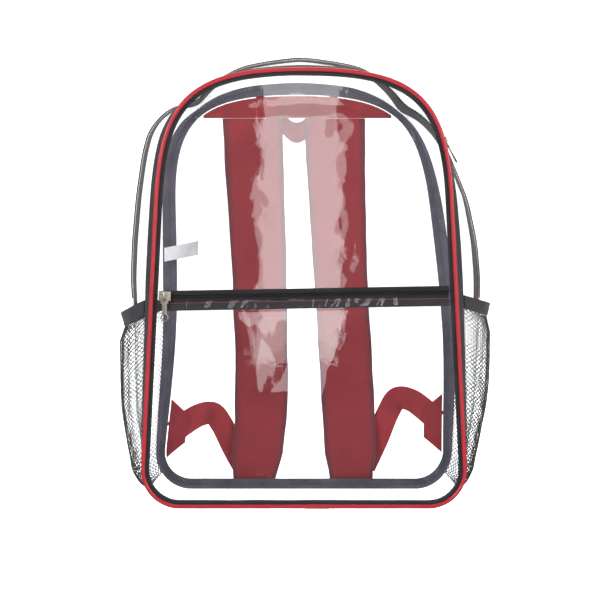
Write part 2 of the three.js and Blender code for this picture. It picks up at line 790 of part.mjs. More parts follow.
function tabSolid(side) {
  const inset = panelLeg + seamEase;
  return gridSolid([0, 1], evenly(endPieces, -1, 1), (inward, edge, face) => {
    const halfHeight = THREE.MathUtils.lerp(tabHeight, tabNeck, inward) / 2;
    const height = tabMiddle * side.tab + edge * halfHeight;
    const root = edgePoint(side.side * shareAtHeight(height - seamLift, -inset), 1, -inset, gap);
    root.x -= side.side * tabLength * inward;
    return new THREE.Vector3(root.x, root.y + face * clothWall, height);
  });
}

function buckleSolid(side) {
  const end = webbingCurve(side).getPoint(1);
  const x = (end.x + strapPlace(side, 1).x) / 2;
  const front = buckleFront(side);
  const middle = strapEnd + buckleHeight / 2;
  const rear = front + buckleWall;
  const box = (half, low, high, spare) =>
    boxBetween([x - half, front - spare, middle + low], [x + half, rear + spare, middle + high]);
  const slot = buckleWidth / 2 - buckleFrame;
  const bar = buckleFrame / 2;
  const rim = buckleHeight / 2 - buckleFrame;
  const frame = box(buckleWidth / 2, -buckleHeight / 2, buckleHeight / 2, 0);
  return geometryOf(frame.subtract(box(slot, bar, rim, gap)).subtract(box(slot, -rim, -bar, gap)));
}

for (const side of sides) {
  addPiece(`shoulder_strap_${side.name}`, strapSolid(side), redCloth);
  addPiece(`strap_tab_${side.name}`, tabSolid(side), redCloth);
  addPiece(`strap_webbing_${side.name}`, webbingSolid(side), redCloth);
  addPiece(`strap_buckle_${side.name}`, buckleSolid(side), blackPlastic);
  addPiece(`net_pocket_${side.name}`, netSolid(side), blackTape);
  addPiece(`pocket_elastic_${side.name}`, elasticSolid(side), blackTape);
}

// The care label hangs inside, from the strip beside the left back seam
const labelAcross = acrossFrom(1, labelForward);
const careLabel = gridSolid(evenly(endPieces), [0, 1], (inward, up, face) => {
  const share = shareAtHeight(labelLow + up * labelHeight);
  const root = gussetPoint(-share, labelAcross, -sheetWall - 2 * gap);
  root.x += inward * labelLength;
  root.y -= labelCurl * inward ** 2 + face * labelWall;
  root.z += inward * labelLength * labelTilt;
  return root;
});
addPiece('care_label', careLabel, whiteSatin);

// The origin is on the floor under the middle of the bag
const bounds = new THREE.Box3().setFromObject(bag);
const middle = bounds.getCenter(new THREE.Vector3());
bag.position.set(-middle.x, -middle.y, -bounds.min.z);

export default bag;
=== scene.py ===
import math

import bpy
import numpy as np
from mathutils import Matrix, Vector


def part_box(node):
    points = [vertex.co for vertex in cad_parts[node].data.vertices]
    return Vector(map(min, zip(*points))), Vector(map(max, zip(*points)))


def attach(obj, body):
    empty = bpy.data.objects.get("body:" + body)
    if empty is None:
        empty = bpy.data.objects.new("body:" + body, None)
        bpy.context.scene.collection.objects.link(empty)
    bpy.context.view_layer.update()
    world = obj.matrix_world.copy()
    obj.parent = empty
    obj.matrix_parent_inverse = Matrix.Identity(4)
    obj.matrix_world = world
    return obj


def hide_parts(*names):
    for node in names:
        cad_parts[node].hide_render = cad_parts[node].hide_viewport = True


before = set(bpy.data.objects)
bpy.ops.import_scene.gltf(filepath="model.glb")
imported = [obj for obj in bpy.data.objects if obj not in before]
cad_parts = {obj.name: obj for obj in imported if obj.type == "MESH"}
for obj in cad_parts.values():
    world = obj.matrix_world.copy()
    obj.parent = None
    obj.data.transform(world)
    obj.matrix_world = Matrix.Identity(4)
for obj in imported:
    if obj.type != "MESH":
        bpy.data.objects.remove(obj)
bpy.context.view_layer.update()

# Studio
# A white backdrop and a white floor, two soft lamps beside the camera, and a tall narrow one behind it
# that shows as the long glare down the middle of the clear front.
MM = 0.001
panel_low, panel_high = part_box("front_panel")
middle_x = (panel_low.x + panel_high.x) / 2
front_y = panel_low.y
camera_distance = 1.06
camera_height = 0.2208
frame_pixels = 600
axis_right = 4 / frame_pixels
axis_up = 12 / frame_pixels

camera_data = bpy.data.cameras.new("camera")
camera_data.sensor_width = 36
camera_data.lens = 64.2
camera_data.shift_x = -axis_right
camera_data.shift_y = -axis_up
camera = bpy.data.objects.new("camera", camera_data)
camera.location = (middle_x, front_y - camera_distance, camera_height)
camera.rotation_euler = (math.radians(90), 0, 0)
bpy.context.scene.collection.objects.link(camera)
bpy.context.scene.camera = camera
bpy.context.scene.view_settings.view_transform = "Standard"


def linear(colour):
    """An sRGB hex colour as linear red, green, blue and alpha."""
    parts = [int(colour[i : i + 2], 16) / 255 for i in (1, 3, 5)]
    return [c / 12.92 if c <= 0.04045 else ((c + 0.055) / 1.055) ** 2.4 for c in parts] + [1.0]


def add(tree, kind, inputs=None, **settings):
    """Adds a node; inputs hold values, or the sockets that are linked to them."""
    made = tree.nodes.new(kind)
    for key, value in settings.items():
        setattr(made, key, value)
    for key, value in (inputs or {}).items():
        if isinstance(value, bpy.types.NodeSocket):
            tree.links.new(value, made.inputs[key])
        else:
            made.inputs[key].default_value = value
    return made


def start_material(name):
    """A new material with an empty tree."""
    made = bpy.data.materials.new(name)
    made.use_nodes = True
    made.node_tree.nodes.clear()
    return made, made.node_tree


def maths(tree, operation, *values, **settings):
    return add(tree, "ShaderNodeMath", dict(enumerate(values)), operation=operation, **settings).outputs[0]


def remap(tree, value, given, wanted, **settings):
    """Carries a value from one range over to another."""
    ends = {"From Min": given[0], "From Max": given[1], "To Min": wanted[0], "To Max": wanted[1]}
    return add(tree, "ShaderNodeMapRange", {"Value": value, **ends}, **settings).outputs[0]


def noise(tree, size, detail, roughness=0.5):
    """Smooth random patches of about that size in metres."""
    place = add(tree, "ShaderNodeTexCoord").outputs["Object"]
    inputs = {"Vector": place, "Scale": 1 / size, "Detail": detail, "Roughness": roughness}
    return add(tree, "ShaderNodeTexNoise", inputs).outputs[0]


def raised(tree, height, depth, strength=1.0):
    """A surface raised by a height between 0 and 1, by that depth in metres."""
    inputs = {"Strength": strength, "Distance": depth, "Height": height}
    return add(tree, "ShaderNodeBump", inputs).outputs[0]


def colour_between(tree, share, first, second):
    """A colour between two, each an sRGB hex colour or a socket."""
    first, second = (linear(end) if isinstance(end, str) else end for end in (first, second))
    return add(tree, "ShaderNodeMix", {0: share, 6: first, 7: second}, data_type="RGBA").outputs[2]


def shader_between(tree, share, first, second):
    return add(tree, "ShaderNodeMixShader", {0: share, 1: first, 2: second}).outputs[0]


def show(tree, surface):
    add(tree, "ShaderNodeOutputMaterial", {"Surface": surface})


def dress(tree, inputs):
    """Ends a material with an opaque surface."""
    show(tree, add(tree, "ShaderNodeBsdfPrincipled", inputs).outputs[0])


def add_lamp(name, place, aim, size, power):
    """A rectangular soft lamp that looks at a point and isn't seen itself."""
    data = bpy.data.lights.new(name, "AREA")
    data.shape = "RECTANGLE"
    data.size, data.size_y = size
    data.energy = power
    lamp = bpy.data.objects.new(name, data)
    lamp.location = place
    direction = Vector(aim) - Vector(place)
    lamp.rotation_euler = direction.to_track_quat("-Z", "Y").to_euler()
    lamp.visible_camera = False
    bpy.context.scene.collection.objects.link(lamp)


bag_middle = (middle_x, 0, 0.2)
tall_lamp_x, tall_lamp_height = -0.016, 0.40
tall_lamp_place = (tall_lamp_x, front_y - 1.5, tall_lamp_height)
add_lamp("tall_lamp", tall_lamp_place, (tall_lamp_x, 0, tall_lamp_height), (0.205, 0.72), 1.05)
add_lamp("left_lamp", (-1.5, -1.5, 1.1), bag_middle, (0.9, 0.9), 26)
add_lamp("right_lamp", (1.6, -1.3, 0.9), bag_middle, (0.9, 0.9), 20)
add_lamp("top_lamp", (0.1, 0.3, 1.7), bag_middle, (1.0, 0.6), 12)

# The backdrop is bright to the eye and behind the bag, and the room in front of it is dim
white = linear("#FFFFFF")
backdrop_strength = 1.6
world = bpy.data.worlds.new("studio")
world.use_nodes = True
bpy.context.scene.world = world
tree = world.node_tree
tree.nodes.clear()
ray = add(tree, "ShaderNodeLightPath")
heading = add(tree, "ShaderNodeSeparateXYZ", {0: add(tree, "ShaderNodeTexCoord").outputs["Generated"]})
room = remap(tree, heading.outputs["Y"], (-0.35, 0.45), (0.22, 1.05), interpolation_type="SMOOTHSTEP")
dark = remap(tree, heading.outputs["Y"], (-0.1, 0.9), (0.08, 0.3), interpolation_type="SMOOTHSTEP")
soft, mirrored, seen = (
    add(tree, "ShaderNodeBackground", {"Color": white, "Strength": strength}).outputs[0]
    for strength in (room, dark, backdrop_strength)
)
lit = shader_between(tree, ray.outputs["Is Glossy Ray"], soft, mirrored)
chosen = shader_between(tree, ray.outputs["Is Camera Ray"], lit, seen)
add(tree, "ShaderNodeOutputWorld", {"Surface": chosen})

floor_reach = 6
floor_corners = [(x * floor_reach, y * floor_reach, 0) for x, y in ((-1, -1), (1, -1), (1, 1), (-1, 1))]
floor_mesh = bpy.data.meshes.new("floor")
floor_mesh.from_pydata(floor_corners, [], [(0, 1, 2, 3)])
floor = bpy.data.objects.new("floor", floor_mesh)
bpy.context.scene.collection.objects.link(floor)
# White seamless paper, lit from under so that only a faint shadow is left on it. The clear sheets mirror
# it darker than it is, as they would mirror the room.
paper, tree = start_material("white seamless paper")
ray = add(tree, "ShaderNodeLightPath")
plain = maths(tree, "SUBTRACT", 1.0, ray.outputs["Is Glossy Ray"], use_clamp=True)
base_glow = maths(tree, "MULTIPLY", plain, 0.78)
power = maths(tree, "MULTIPLY_ADD", ray.outputs["Is Camera Ray"], 0.8, base_glow)
glow = add(tree, "ShaderNodeEmission", {"Color": white, "Strength": power})
matt = add(tree, "ShaderNodeBsdfDiffuse", {"Color": linear("#E4E4E6")})
dim = add(tree, "ShaderNodeBsdfDiffuse", {"Color": linear("#303032")})
facing_up = shader_between(tree, plain, dim.outputs[0], matt.outputs[0])
show(tree, add(tree, "ShaderNodeAddShader", {0: glow.outputs[0], 1: facing_up}).outputs[0])
floor_mesh.materials.append(paper)

# Clear front panel
# A flat sheet of calendered PVC, 0.4 to 0.5 mm thick, cut to the outline of the bag. It is sewn into the
# front seam under the tape, and it is softly waved, with creases where the low corners were folded.
bag_height = 432
bottom_width = 318
shoulder_width = 292
shoulder_height = 303
corner_radius = 36
arch_fullness = 0.77
bag_depth = 118
half_depth = bag_depth / 2
seam_lift = 5
base_flat = 0.75
gusset_bulge = 32
back_sway = 8
back_rise = 2.5
sheet_wall = 0.5
cad_wall = 1
gap = 0.3
panel_inset = 2
shift = np.array([middle_x / MM, front_y / MM + half_depth, 0])
bag_centre = np.array([0, 0, bag_height / 2])

# How far the strip between the seams bulges, by share of the way from the base to the crown
gusset_form = [
    # along, left, right
    (0.0, 0.0, 0.0),
    (0.19, 0.0, 0.0),
    (0.262, 0.16, 0.16),
    (0.287, 0.31, 0.31),
    (0.338, 0.56, 0.56),
    (0.384, 0.69, 0.69),
    (0.452, 0.81, 0.81),
    (0.545, 1.0, 1.0),
    (0.6, 0.99, 0.98),
    (0.66, 0.9, 0.8),
    (0.7, 0.82, 0.54),
    (0.763, 0.78, 0.2),
    (0.8, 0.45, -0.05),
    (0.83, -0.1, -0.3),
    (0.91, 0.5, 0.48),
    (1.0, 0.68, 0.68),
]


def half_seam():
    """Places of half the front seam about 1 mm apart, with the share of its length at each."""
    centre = np.array([bottom_width / 2 - corner_radius, corner_radius])
    shoulder = np.array([shoulder_width / 2, shoulder_height])
    reach = shoulder - centre
    lean = math.atan2(reach[1], reach[0]) - math.acos(corner_radius / np.hypot(*reach))
    turn = np.linspace(-math.pi / 2, lean, 60)[:, None]
    arc = centre + corner_radius * np.hstack([np.cos(turn), np.sin(turn)])
    rise = (bag_height - shoulder_height) * arch_fullness
    above = shoulder + rise * np.array([-math.sin(lean), math.cos(lean)])
    beside = np.array([shoulder[0] * arch_fullness, bag_height])
    t = np.linspace(0, 1, 240)[:, None]
    crown = np.array([0, bag_height])
    arch = (1 - t) ** 3 * shoulder + 3 * t * (1 - t) ** 2 * above + 3 * t**2 * (1 - t) * beside + t**3 * crown
    base = np.linspace([0, 0], [centre[0], 0], 120)
    side = np.linspace(arc[-1], shoulder, 260)
    places = np.vstack([base, arc[1:], side[1:], arch[1:]])
    lengths = np.r_[0, np.cumsum(np.hypot(*np.diff(places, axis=0).T))]
    return places, lengths / lengths[-1], lengths[-1]


seam_places, seam_shares, seam_length = half_seam()
seam_heading = np.gradient(seam_places, seam_shares, axis=0)
seam_heading /= np.linalg.norm(seam_heading, axis=1)[:, None]


def smooth_table(rows, column, width):
    """A table's column read along a straight line at many places, then rounded over."""
    at = np.linspace(0, 1, 501)
    read = np.interp(at, [row[0] for row in rows], [row[column] for row in rows])
    kernel = np.hanning(int(width * 500) | 1)
    padded = np.pad(read, len(kernel) // 2, mode="reflect")
    return at, np.convolve(padded, kernel / kernel.sum(), "valid")


bulge_left = smooth_table(gusset_form, 1, 0.05)
bulge_right = smooth_table(gusset_form, 2, 0.05)


sway_waist = 0.38


def sway_at(height):
    """How far the back seam lies to the right of the front seam, as a share of back_sway."""
    low = -0.1 + 0.82 * ease(height / sway_waist)
    high = 0.72 - 1.68 * ease((height - sway_waist) / 0.62)
    return np.where(height < sway_waist, low, high)


def ease(share):
    share = np.clip(share, 0, 1)
    return share * share * (3 - 2 * share)


def edge_point(share, face, out, beyond):
    """A place in mm out from the seam of one face, -1 the front or 1 the back, and beyond that face."""
    share, out, beyond = np.broadcast_arrays(share, out, beyond)
    along = np.abs(share)
    x, z = (np.interp(along, seam_shares, seam_places[:, i]) for i in (0, 1))
    hx, hz = (np.interp(along, seam_shares, seam_heading[:, i]) for i in (0, 1))
    height = z - hx * out
    back = (face + 1) / 2
    side = np.where(share < 0, -1, 1)
    return np.stack(
        [
            side * (x + hz * out) + back * back_sway * sway_at(height / bag_height),
            face * (half_depth + beyond),
            seam_lift + height + back * back_rise * height / bag_height,
        ],
        axis=-1,
    )


def gusset_point(share, across, lift=0.0):
    """A place in mm on the strip between the seams, across from -1 at the front to 1 at the back."""
    share, across, lift = np.broadcast_arrays(share, across, lift)
    along = np.abs(share)
    front, back = edge_point(share, -1, 0, 0), edge_point(share, 1, 0, 0)
    hx, hz = (np.interp(along, seam_shares, seam_heading[:, i]) for i in (0, 1))
    side = np.where(share < 0, -1, 1)
    outward = np.stack([side * hz, np.zeros_like(hz), -hx], axis=-1)
    roundness = 1 - across**2
    sag = seam_lift * np.maximum(0, hx) ** 2 * np.minimum(1, roundness / (1 - base_flat**2))
    bulge = np.where(share < 0, np.interp(along, *bulge_left), np.interp(along, *bulge_right))
    lifted = gusset_bulge * bulge * roundness + sag + lift
    mixed = front + (back - front) * ((across + 1) / 2)[..., None]
    return mixed + outward * lifted[..., None]


def share_at(height, out=0.0):
    """The share of the half seam at a height above the base seam."""
    heights = seam_places[:, 1] - seam_heading[:, 0] * out
    return np.interp(height, heights, seam_shares)


def ripple(x, z, length, seed):
    """Smooth random waves of about that length in mm, mostly within 1 of zero."""
    draw = np.random.default_rng(seed)
    total = np.zeros_like(x * 1.0)
    for _ in range(7):
        turn, phase = draw.uniform(0, 2 * math.pi, 2)
        stretch = draw.uniform(0.7, 1.6)
        step = 2 * math.pi / (length * stretch)
        total += np.cos(step * (x * math.cos(turn) + z * math.sin(turn)) + phase)
    return total / 2.6


def sheet_mesh(outer, wall, loop=False):
    """Vertices, faces and a UV in metres for a sheet laid under a grid of places.

    With loop the last row is joined to the first."""
    rows, columns = outer.shape[:2]
    if loop:
        padded = np.concatenate([outer[-1:], outer, outer[:1]])
        along = (padded[2:] - padded[:-2]) / 2
    else:
        along = np.gradient(outer, axis=0)
    across = np.gradient(outer, axis=1)
    normal = np.cross(along, across)
    normal /= np.maximum(np.linalg.norm(normal, axis=-1, keepdims=True), 1e-9)
    if np.sum(normal * (outer - bag_centre)) < 0:
        normal = -normal
    vertices = np.concatenate([outer.reshape(-1, 3), (outer - wall * normal).reshape(-1, 3)])
    count = rows * columns
    faces = []
    row_pairs = [(i, (i + 1) % rows) for i in range(rows if loop else rows - 1)]
    for i, k in row_pairs:
        a = i * columns + np.arange(columns - 1)
        b = k * columns + np.arange(columns - 1)
        faces.append(np.stack([a, b, b + 1, a + 1], axis=1))
        faces.append(np.stack([a, a + 1, b + 1, b], axis=1) + count)
        for j, turn in ((0, 1), (columns - 1, -1)):
            rim = [i * columns + j, i * columns + j + count, k * columns + j + count, k * columns + j]
            faces.append(np.array([rim[::turn]]))
    if not loop:
        for i, turn in ((0, -1), (rows - 1, 1)):
            a = i * columns + np.arange(columns - 1)
            faces.append(np.stack([a, a + count, a + count + 1, a + 1], axis=1)[:, ::turn])
    step_u = np.linalg.norm(np.diff(outer, axis=0), axis=-1).mean(axis=1)
    step_v = np.linalg.norm(np.diff(outer, axis=1), axis=-1).mean(axis=0)
    u, v = np.r_[0, np.cumsum(step_u)], np.r_[0, np.cumsum(step_v)]
    uv = np.stack(np.meshgrid(u, v, indexing="ij"), axis=-1).reshape(-1, 2) * MM
    return vertices, np.concatenate(faces), np.concatenate([uv, uv])


def settle(piece, slot, *nodes, body="bag"):
    """The piece rides on its body and stands for its CAD nodes; clear sheets are kept out of shadow and
    soft-light rays.
    """
    if slot == "clear_pvc":
        # A ray is stopped after a few clear faces, so shadows and soft light pass the clear sheets
        piece.visible_shadow = False
        piece.visible_diffuse = False
    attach(piece, body)
    if nodes:
        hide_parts(*nodes)
    return piece


sharp_angle = math.radians(50)


def make_piece(name, shape, material, slot, *nodes):
    """A piece of the bag from vertices in mm, with its faces turned outwards."""
    vertices, faces, uv = shape
    a, b, c, d = (vertices[faces[:, i]] for i in range(4))
    volume = np.einsum("ij,ij->", a, np.cross(b, c))
    volume += np.einsum("ij,ij->", a, np.cross(c, d))
    if volume < 0:
        faces = faces[:, ::-1]
    mesh = bpy.data.meshes.new(name)
    mesh.from_pydata(((vertices + shift) * MM).tolist(), [], faces.tolist())
    layer = mesh.uv_layers.new(name="UVMap")
    corners = np.empty(len(mesh.loops), np.int32)
    mesh.loops.foreach_get("vertex_index", corners)
    layer.data.foreach_set("uv", uv[corners].astype(np.float32).ravel())
    mesh.shade_smooth()
    mesh.set_sharp_from_angle(angle=sharp_angle)
    mesh.materials.append(material)
    piece = bpy.data.objects.new(name, mesh)
    bpy.context.scene.collection.objects.link(piece)
    return settle(piece, slot, *nodes)


# Calendered clear PVC: nearly unseen against white, with sharp glare where a lamp stands in it.
# Each face gives back 4.5 % straight on, and much more at a slant.
straight_shine, slanted_shine = 0.045, 0.4
clear_pvc, tree = start_material("calendered clear PVC")
waves = maths(tree, "MULTIPLY_ADD", noise(tree, 0.012, 3.0), 0.08, noise(tree, 0.05, 2.0, 0.4))
uneven = raised(tree, waves, 0.00055)
facing = add(tree, "ShaderNodeLayerWeight", {"Blend": 0.5, "Normal": uneven})
slant = maths(tree, "POWER", facing.outputs["Facing"], 5.0)
shine = maths(tree, "MULTIPLY_ADD", slant, slanted_shine, straight_shine, use_clamp=True)
gloss = add(tree, "ShaderNodeBsdfGlossy", {"Color": white, "Roughness": 0.02, "Normal": uneven})
through = add(tree, "ShaderNodeBsdfTransparent", {"Color": [0.985, 0.99, 0.992, 1]})
show(tree, shader_between(tree, shine, through.outputs[0], gloss.outputs[0]))

loop_shares = np.linspace(-1, 1, 481)[:-1]


def panel_sheet(face, waves):
    """A panel as rings from its middle to its rim; waves gives how far it stands out at each place."""
    rim = edge_point(loop_shares, face, -panel_inset, 0)
    centre = np.array([0, face * half_depth, seam_lift + bag_height / 2])
    rings = np.sqrt(np.linspace(0.0004, 1, 64))[None, :, None]
    outer = centre + (rim[:, None, :] - centre) * rings
    outer[..., 1] += face * waves(outer[..., 0], outer[..., 2], 1 - rings[0, :, 0])
    return sheet_mesh(outer, sheet_wall, loop=True)


def front_waves(x, z, inside):
    """Long low waves, and sharp creases in the low corners; nothing at the rim."""
    calm = ease(inside / 0.06)
    soft = 0.10 * ripple(x, z, 150, 3) + 0.03 * ripple(x, z, 60, 5)
    low = ease((70 - z) / 60) * ease((np.abs(x) - 60) / 80)
    crease = 1 - np.abs(ripple(x * 1.3, z, 46, 11))
    return calm * (soft + 1.3 * low * crease)


make_piece("front_sheet", panel_sheet(-1, front_waves), clear_pvc, "clear_pvc", "front_panel")

# Clear back panel
# The same sheet again behind, where the straps are sewn on. It hangs a little looser than the front.


def back_waves(x, z, inside):
    return ease(inside / 0.06) * (0.25 * ripple(x, z, 130, 21) + 0.06 * ripple(x, z, 50, 22) - 0.25)


make_piece("back_sheet", panel_sheet(1, back_waves), clear_pvc, "clear_pvc", "back_panel")

# Clear strips between the seams
# One strip runs round the base and up both sides to the ends of the main zip, and two narrower ones
# lie before and behind the zip over the top. They are the same PVC, pinched and dented at the shoulders.
main_tape_width = 30
main_tape_forward = 14
main_tape_lap = 5
main_tape_tuck = 10
main_zip_end = 204
zip_across = -main_tape_forward / half_depth
tape_front = zip_across - main_tape_width / 2 / half_depth
tape_rear = zip_across + main_tape_width / 2 / half_depth
lap_front = tape_front + main_tape_lap / half_depth
lap_rear = tape_rear - main_tape_lap / half_depth
zip_share = float(share_at(main_zip_end))
tuck_share = float(share_at(main_zip_end - main_tape_tuck))


def dented(share, across, lift=0.0):
    """The strip with its dents and pinches, which die out at both seams and under the zip."""
    share, across = np.broadcast_arrays(share, across)
    length = share * seam_length
    width = across * half_depth
    free = ease((1 - np.abs(across)) / 0.22)
    calm = ease(np.abs(across - zip_across) / 0.42)
    high = ease((np.abs(share) - 0.66) / 0.1)
    soft = 0.5 * ripple(length, width, 70, 31) + 0.5 * high * ripple(length, width * 0.6, 34, 33)
    return gusset_point(share, across, lift + free * (0.35 + 0.65 * calm) * soft)


round_base = np.linspace(-zip_share, zip_share, 280)
over_top = np.r_[np.linspace(zip_share, 1, 150)[:-1], np.linspace(-1, -zip_share, 150)]
for name, shares, columns, node in (
    ("base_strip", round_base, np.linspace(-1, 1, 48), "base_gusset"),
    ("top_strip_front", over_top, np.linspace(-1, lap_front, 18), "top_gusset_front"),
    ("top_strip_rear", over_top, np.linspace(lap_rear, 1, 30), "top_gusset_rear"),
):
    places = dented(shares[:, None], columns[None, :])
    make_piece(name, sheet_mesh(places, sheet_wall), clear_pvc, "clear_pvc", node)

# Seam tapes
# Black ribbed polyester tape folded over both seams, one leg on the panel and one on the strip. It is
# sewn through with a lockstitch near each edge.
tape_wall = 1.0
panel_leg = 6
gusset_leg = 7


def weave_height(tree, lay, ribs, cross):
    """The height of a weave, from the scale and the wander of its ribs along and across the piece."""
    waves = []
    for axis, (scale, wander) in (("X", ribs), ("Y", cross)):
        inputs = {"Vector": lay, "Scale": scale, "Distortion": wander, "Detail": 1.0}
        waves.append(add(tree, "ShaderNodeTexWave", inputs, bands_direction=axis).outputs[1])
    return maths(tree, "MULTIPLY", *waves)


def woven(name, dark, light, pitch, bump_depth, rough=0.85, sheen=0.15):
    """Ribbed weave along the piece's own UV; each rib is painted lighter on top and darker in its grooves as
    painted shade, with random patches of tone.
    """
    made, tree = start_material(name)
    lay = add(tree, "ShaderNodeUVMap", uv_map="UVMap").outputs[0]
    scale = 1 / (2 * math.pi * pitch)
    weave = weave_height(tree, lay, (scale * 2, 0.4), (scale * 2.6, 0.6))
    # Painted shade: the colour follows the height of the weave, darker in the grooves, with random patches on
    # top
    shade = maths(tree, "MULTIPLY_ADD", weave, 0.55, noise(tree, 0.025, 4.0))
    hue = colour_between(tree, remap(tree, shade, (0.25, 1.15), (0, 1)), dark, light)
    ribbed = raised(tree, weave, bump_depth)
    dress(tree, {"Base Color": hue, "Roughness": rough, "Sheen Weight": sheen, "Normal": ribbed})
    return made


# Ribbed polyester tape: ribs of 0.7 mm, drawn at 1.2 mm so that they show
black_tape = woven("ribbed polyester tape", "#161619", "#34343A", 0.0012, 0.00012)
# The tape of the back seam is thin and has the white backdrop behind it; the light that shines through it is
# painted into its colour as a lighter grey
backlit_tape_cloth = woven("ribbed polyester tape with painted backlight", "#45434E", "#706D7A", 0.0012, 0.00012)


def folded_tape(face):
    """The tape's outer side: down its panel leg, round the fold and along its strip leg."""
    outer = gap + tape_wall
    legs = [edge_point(loop_shares, face, -panel_leg + step, outer) for step in (0, 2, 4, 5.6)]
    legs.append(edge_point(loop_shares, face, 0.7, outer * 0.93))
    legs.append(edge_point(loop_shares, face, outer * 0.93, 0.7))
    for depth in (1.2, 3, 5, gusset_leg):
        legs.append(gusset_point(loop_shares, face * (1 - depth / half_depth), outer))
    legs = np.stack(legs, axis=1)
    wander = 0.25 * ripple(loop_shares * seam_length, 0 * loop_shares, 45, 41 + face)
    legs[:, 0, 1] -= face * 0.25
    legs[:, 0, 2] += wander * 0.5
    return sheet_mesh(legs, tape_wall, loop=True)


make_piece("front_tape", folded_tape(-1), black_tape, "black_tape", "front_binding")
make_piece("back_tape", folded_tape(1), backlit_tape_cloth, "black_tape", "back_binding")

# Stitches
# Rows of lockstitch: each visible stitch is a short raised bead of thread, 2.2 mm long, one every 3 mm.
# The maker sews the black tape with black thread and the zips and pocket edge with red.


def input_socket(tree, name, kind="NodeSocketFloat"):
    return tree.interface.new_socket(name, in_out="INPUT", socket_type=kind)


def bead_tree(name, material, segments, rings):
    """Puts one rounded bead on every point, turned along and out by the point's own attributes."""
    tree = bpy.data.node_groups.new(name, "GeometryNodeTree")
    input_socket(tree, "Points", "NodeSocketGeometry")
    sizes = [input_socket(tree, size) for size in ("Length", "Width", "Height")]
    tree.interface.new_socket("Beads", in_out="OUTPUT", socket_type="NodeSocketGeometry")
    given = add(tree, "NodeGroupInput")
    ball = add(tree, "GeometryNodeMeshUVSphere", {"Segments": segments, "Rings": rings, "Radius": 0.5})
    scale = add(tree, "ShaderNodeCombineXYZ", {i: given.outputs[i + 1] for i in range(3)})
    shaped = add(tree, "GeometryNodeTransform", {"Geometry": ball.outputs[0], "Scale": scale.outputs[0]})
    along = add(tree, "GeometryNodeInputNamedAttribute", {"Name": "along"}, data_type="FLOAT_VECTOR")
    out = add(tree, "GeometryNodeInputNamedAttribute", {"Name": "out"}, data_type="FLOAT_VECTOR")
    turn = add(
        tree,
        "FunctionNodeAxesToRotation",
        {"Primary Axis": along.outputs[0], "Secondary Axis": out.outputs[0]},
        primary_axis="X",
        secondary_axis="Z",
    )
    placed = add(
        tree,
        "GeometryNodeInstanceOnPoints",
        {"Points": given.outputs[0], "Instance": shaped.outputs[0], "Rotation": turn.outputs[0]},
    )
    real = add(tree, "GeometryNodeRealizeInstances", {"Geometry": placed.outputs[0]})
    smooth = add(tree, "GeometryNodeSetShadeSmooth", {"Geometry": real.outputs[0]})
    dressed = add(tree, "GeometryNodeSetMaterial", {"Geometry": smooth.outputs[0], "Material": material})
    add(tree, "NodeGroupOutput", {0: dressed.outputs[0]})
    return tree, [size.identifier for size in sizes]


def lengths_along(path):
    """How far along a path each of its places lies."""
    return np.r_[0, np.cumsum(np.linalg.norm(np.diff(path, axis=0), axis=1))]


def spaced(path, out, pitch):
    """Points, headings and outward directions at even distances along a dense path in mm."""
    lengths = lengths_along(path)
    at = np.arange(pitch / 2, lengths[-1], pitch)
    points, outs = (
        np.stack([np.interp(at, lengths, values[:, i]) for i in range(3)], axis=1) for values in (path, out)
    )
    return points, np.gradient(points, axis=0), outs


def beads(name, rows, sizes, tree_and_inputs):
    """A plain mesh of beads along rows of points, in mm."""
    points, along, out = (np.concatenate(parts) for parts in zip(*rows))
    tree, inputs = tree_and_inputs
    mesh = bpy.data.meshes.new(name)
    mesh.from_pydata(((points + shift) * MM).tolist(), [], [])
    for key, vectors in (("along", along), ("out", out)):
        attribute = mesh.attributes.new(key, "FLOAT_VECTOR", "POINT")
        attribute.data.foreach_set("vector", np.asarray(vectors, np.float32).ravel())
    return grow(name, mesh, tree, dict(zip(inputs, [size * MM for size in sizes])))


def grow(name, mesh, tree, inputs):
    """Runs a Geometry Nodes tree on the mesh and keeps its result as a plain mesh."""
    seed = bpy.data.objects.new(name, mesh)
    bpy.context.scene.collection.objects.link(seed)
    modifier = seed.modifiers.new("grow", "NODES")
    modifier.node_group = tree
    for identifier, value in inputs.items():
        modifier[identifier] = value
    work_in(seed)
    return seed


def work_in(piece):
    """Puts the mesh with the modifiers worked in in place of the one the piece had."""
    graph = bpy.context.evaluated_depsgraph_get()
    given = piece.data
    worked = bpy.data.meshes.new_from_object(piece.evaluated_get(graph), depsgraph=graph)
    piece.modifiers.clear()
    piece.data = worked
    bpy.data.meshes.remove(given)
    worked.name = piece.name
    return worked


def thread(name, colour, rough=0.55):
    """Twisted polyester thread, with a soft sheen."""
    made, tree = start_material(name)
    twist = remap(tree, noise(tree, 0.0012, 2.0), (0.3, 0.7), (0.75, 1.2))
    hue = add(tree, "ShaderNodeHueSaturation", {"Color": linear(colour), "Value": twist})
    dress(tree, {"Base Color": hue.outputs[0], "Roughness": rough, "Sheen Weight": 0.3})
    return made


black_thread = thread("black polyester thread", "#2C2C31")
red_thread = thread("red polyester thread", "#B83A44")
stitch_pitch = 3.0
stitch_size = (2.2, 0.5, 0.4)
black_stitch = bead_tree("black stitch", black_thread, 6, 4)
red_stitch = bead_tree("red stitch", red_thread, 6, 4)


def sew(name, rows, stitch, slot):
    """Rows of stitches as one piece of the bag."""
    settle(beads(name, rows, stitch_size, stitch), slot)


def outward_from_gusset(shares, across):
    """Which way the strip faces."""
    here = gusset_point(shares, across)
    return gusset_point(shares, across, 1.0) - here


def straight_out(path, way):
    """The same direction at every place of a path, to the front at -1 and to the back at 1."""
    return np.tile([0, way, 0], (len(path), 1))


def closed_loop(values):
    return np.concatenate([values, values[:1]])


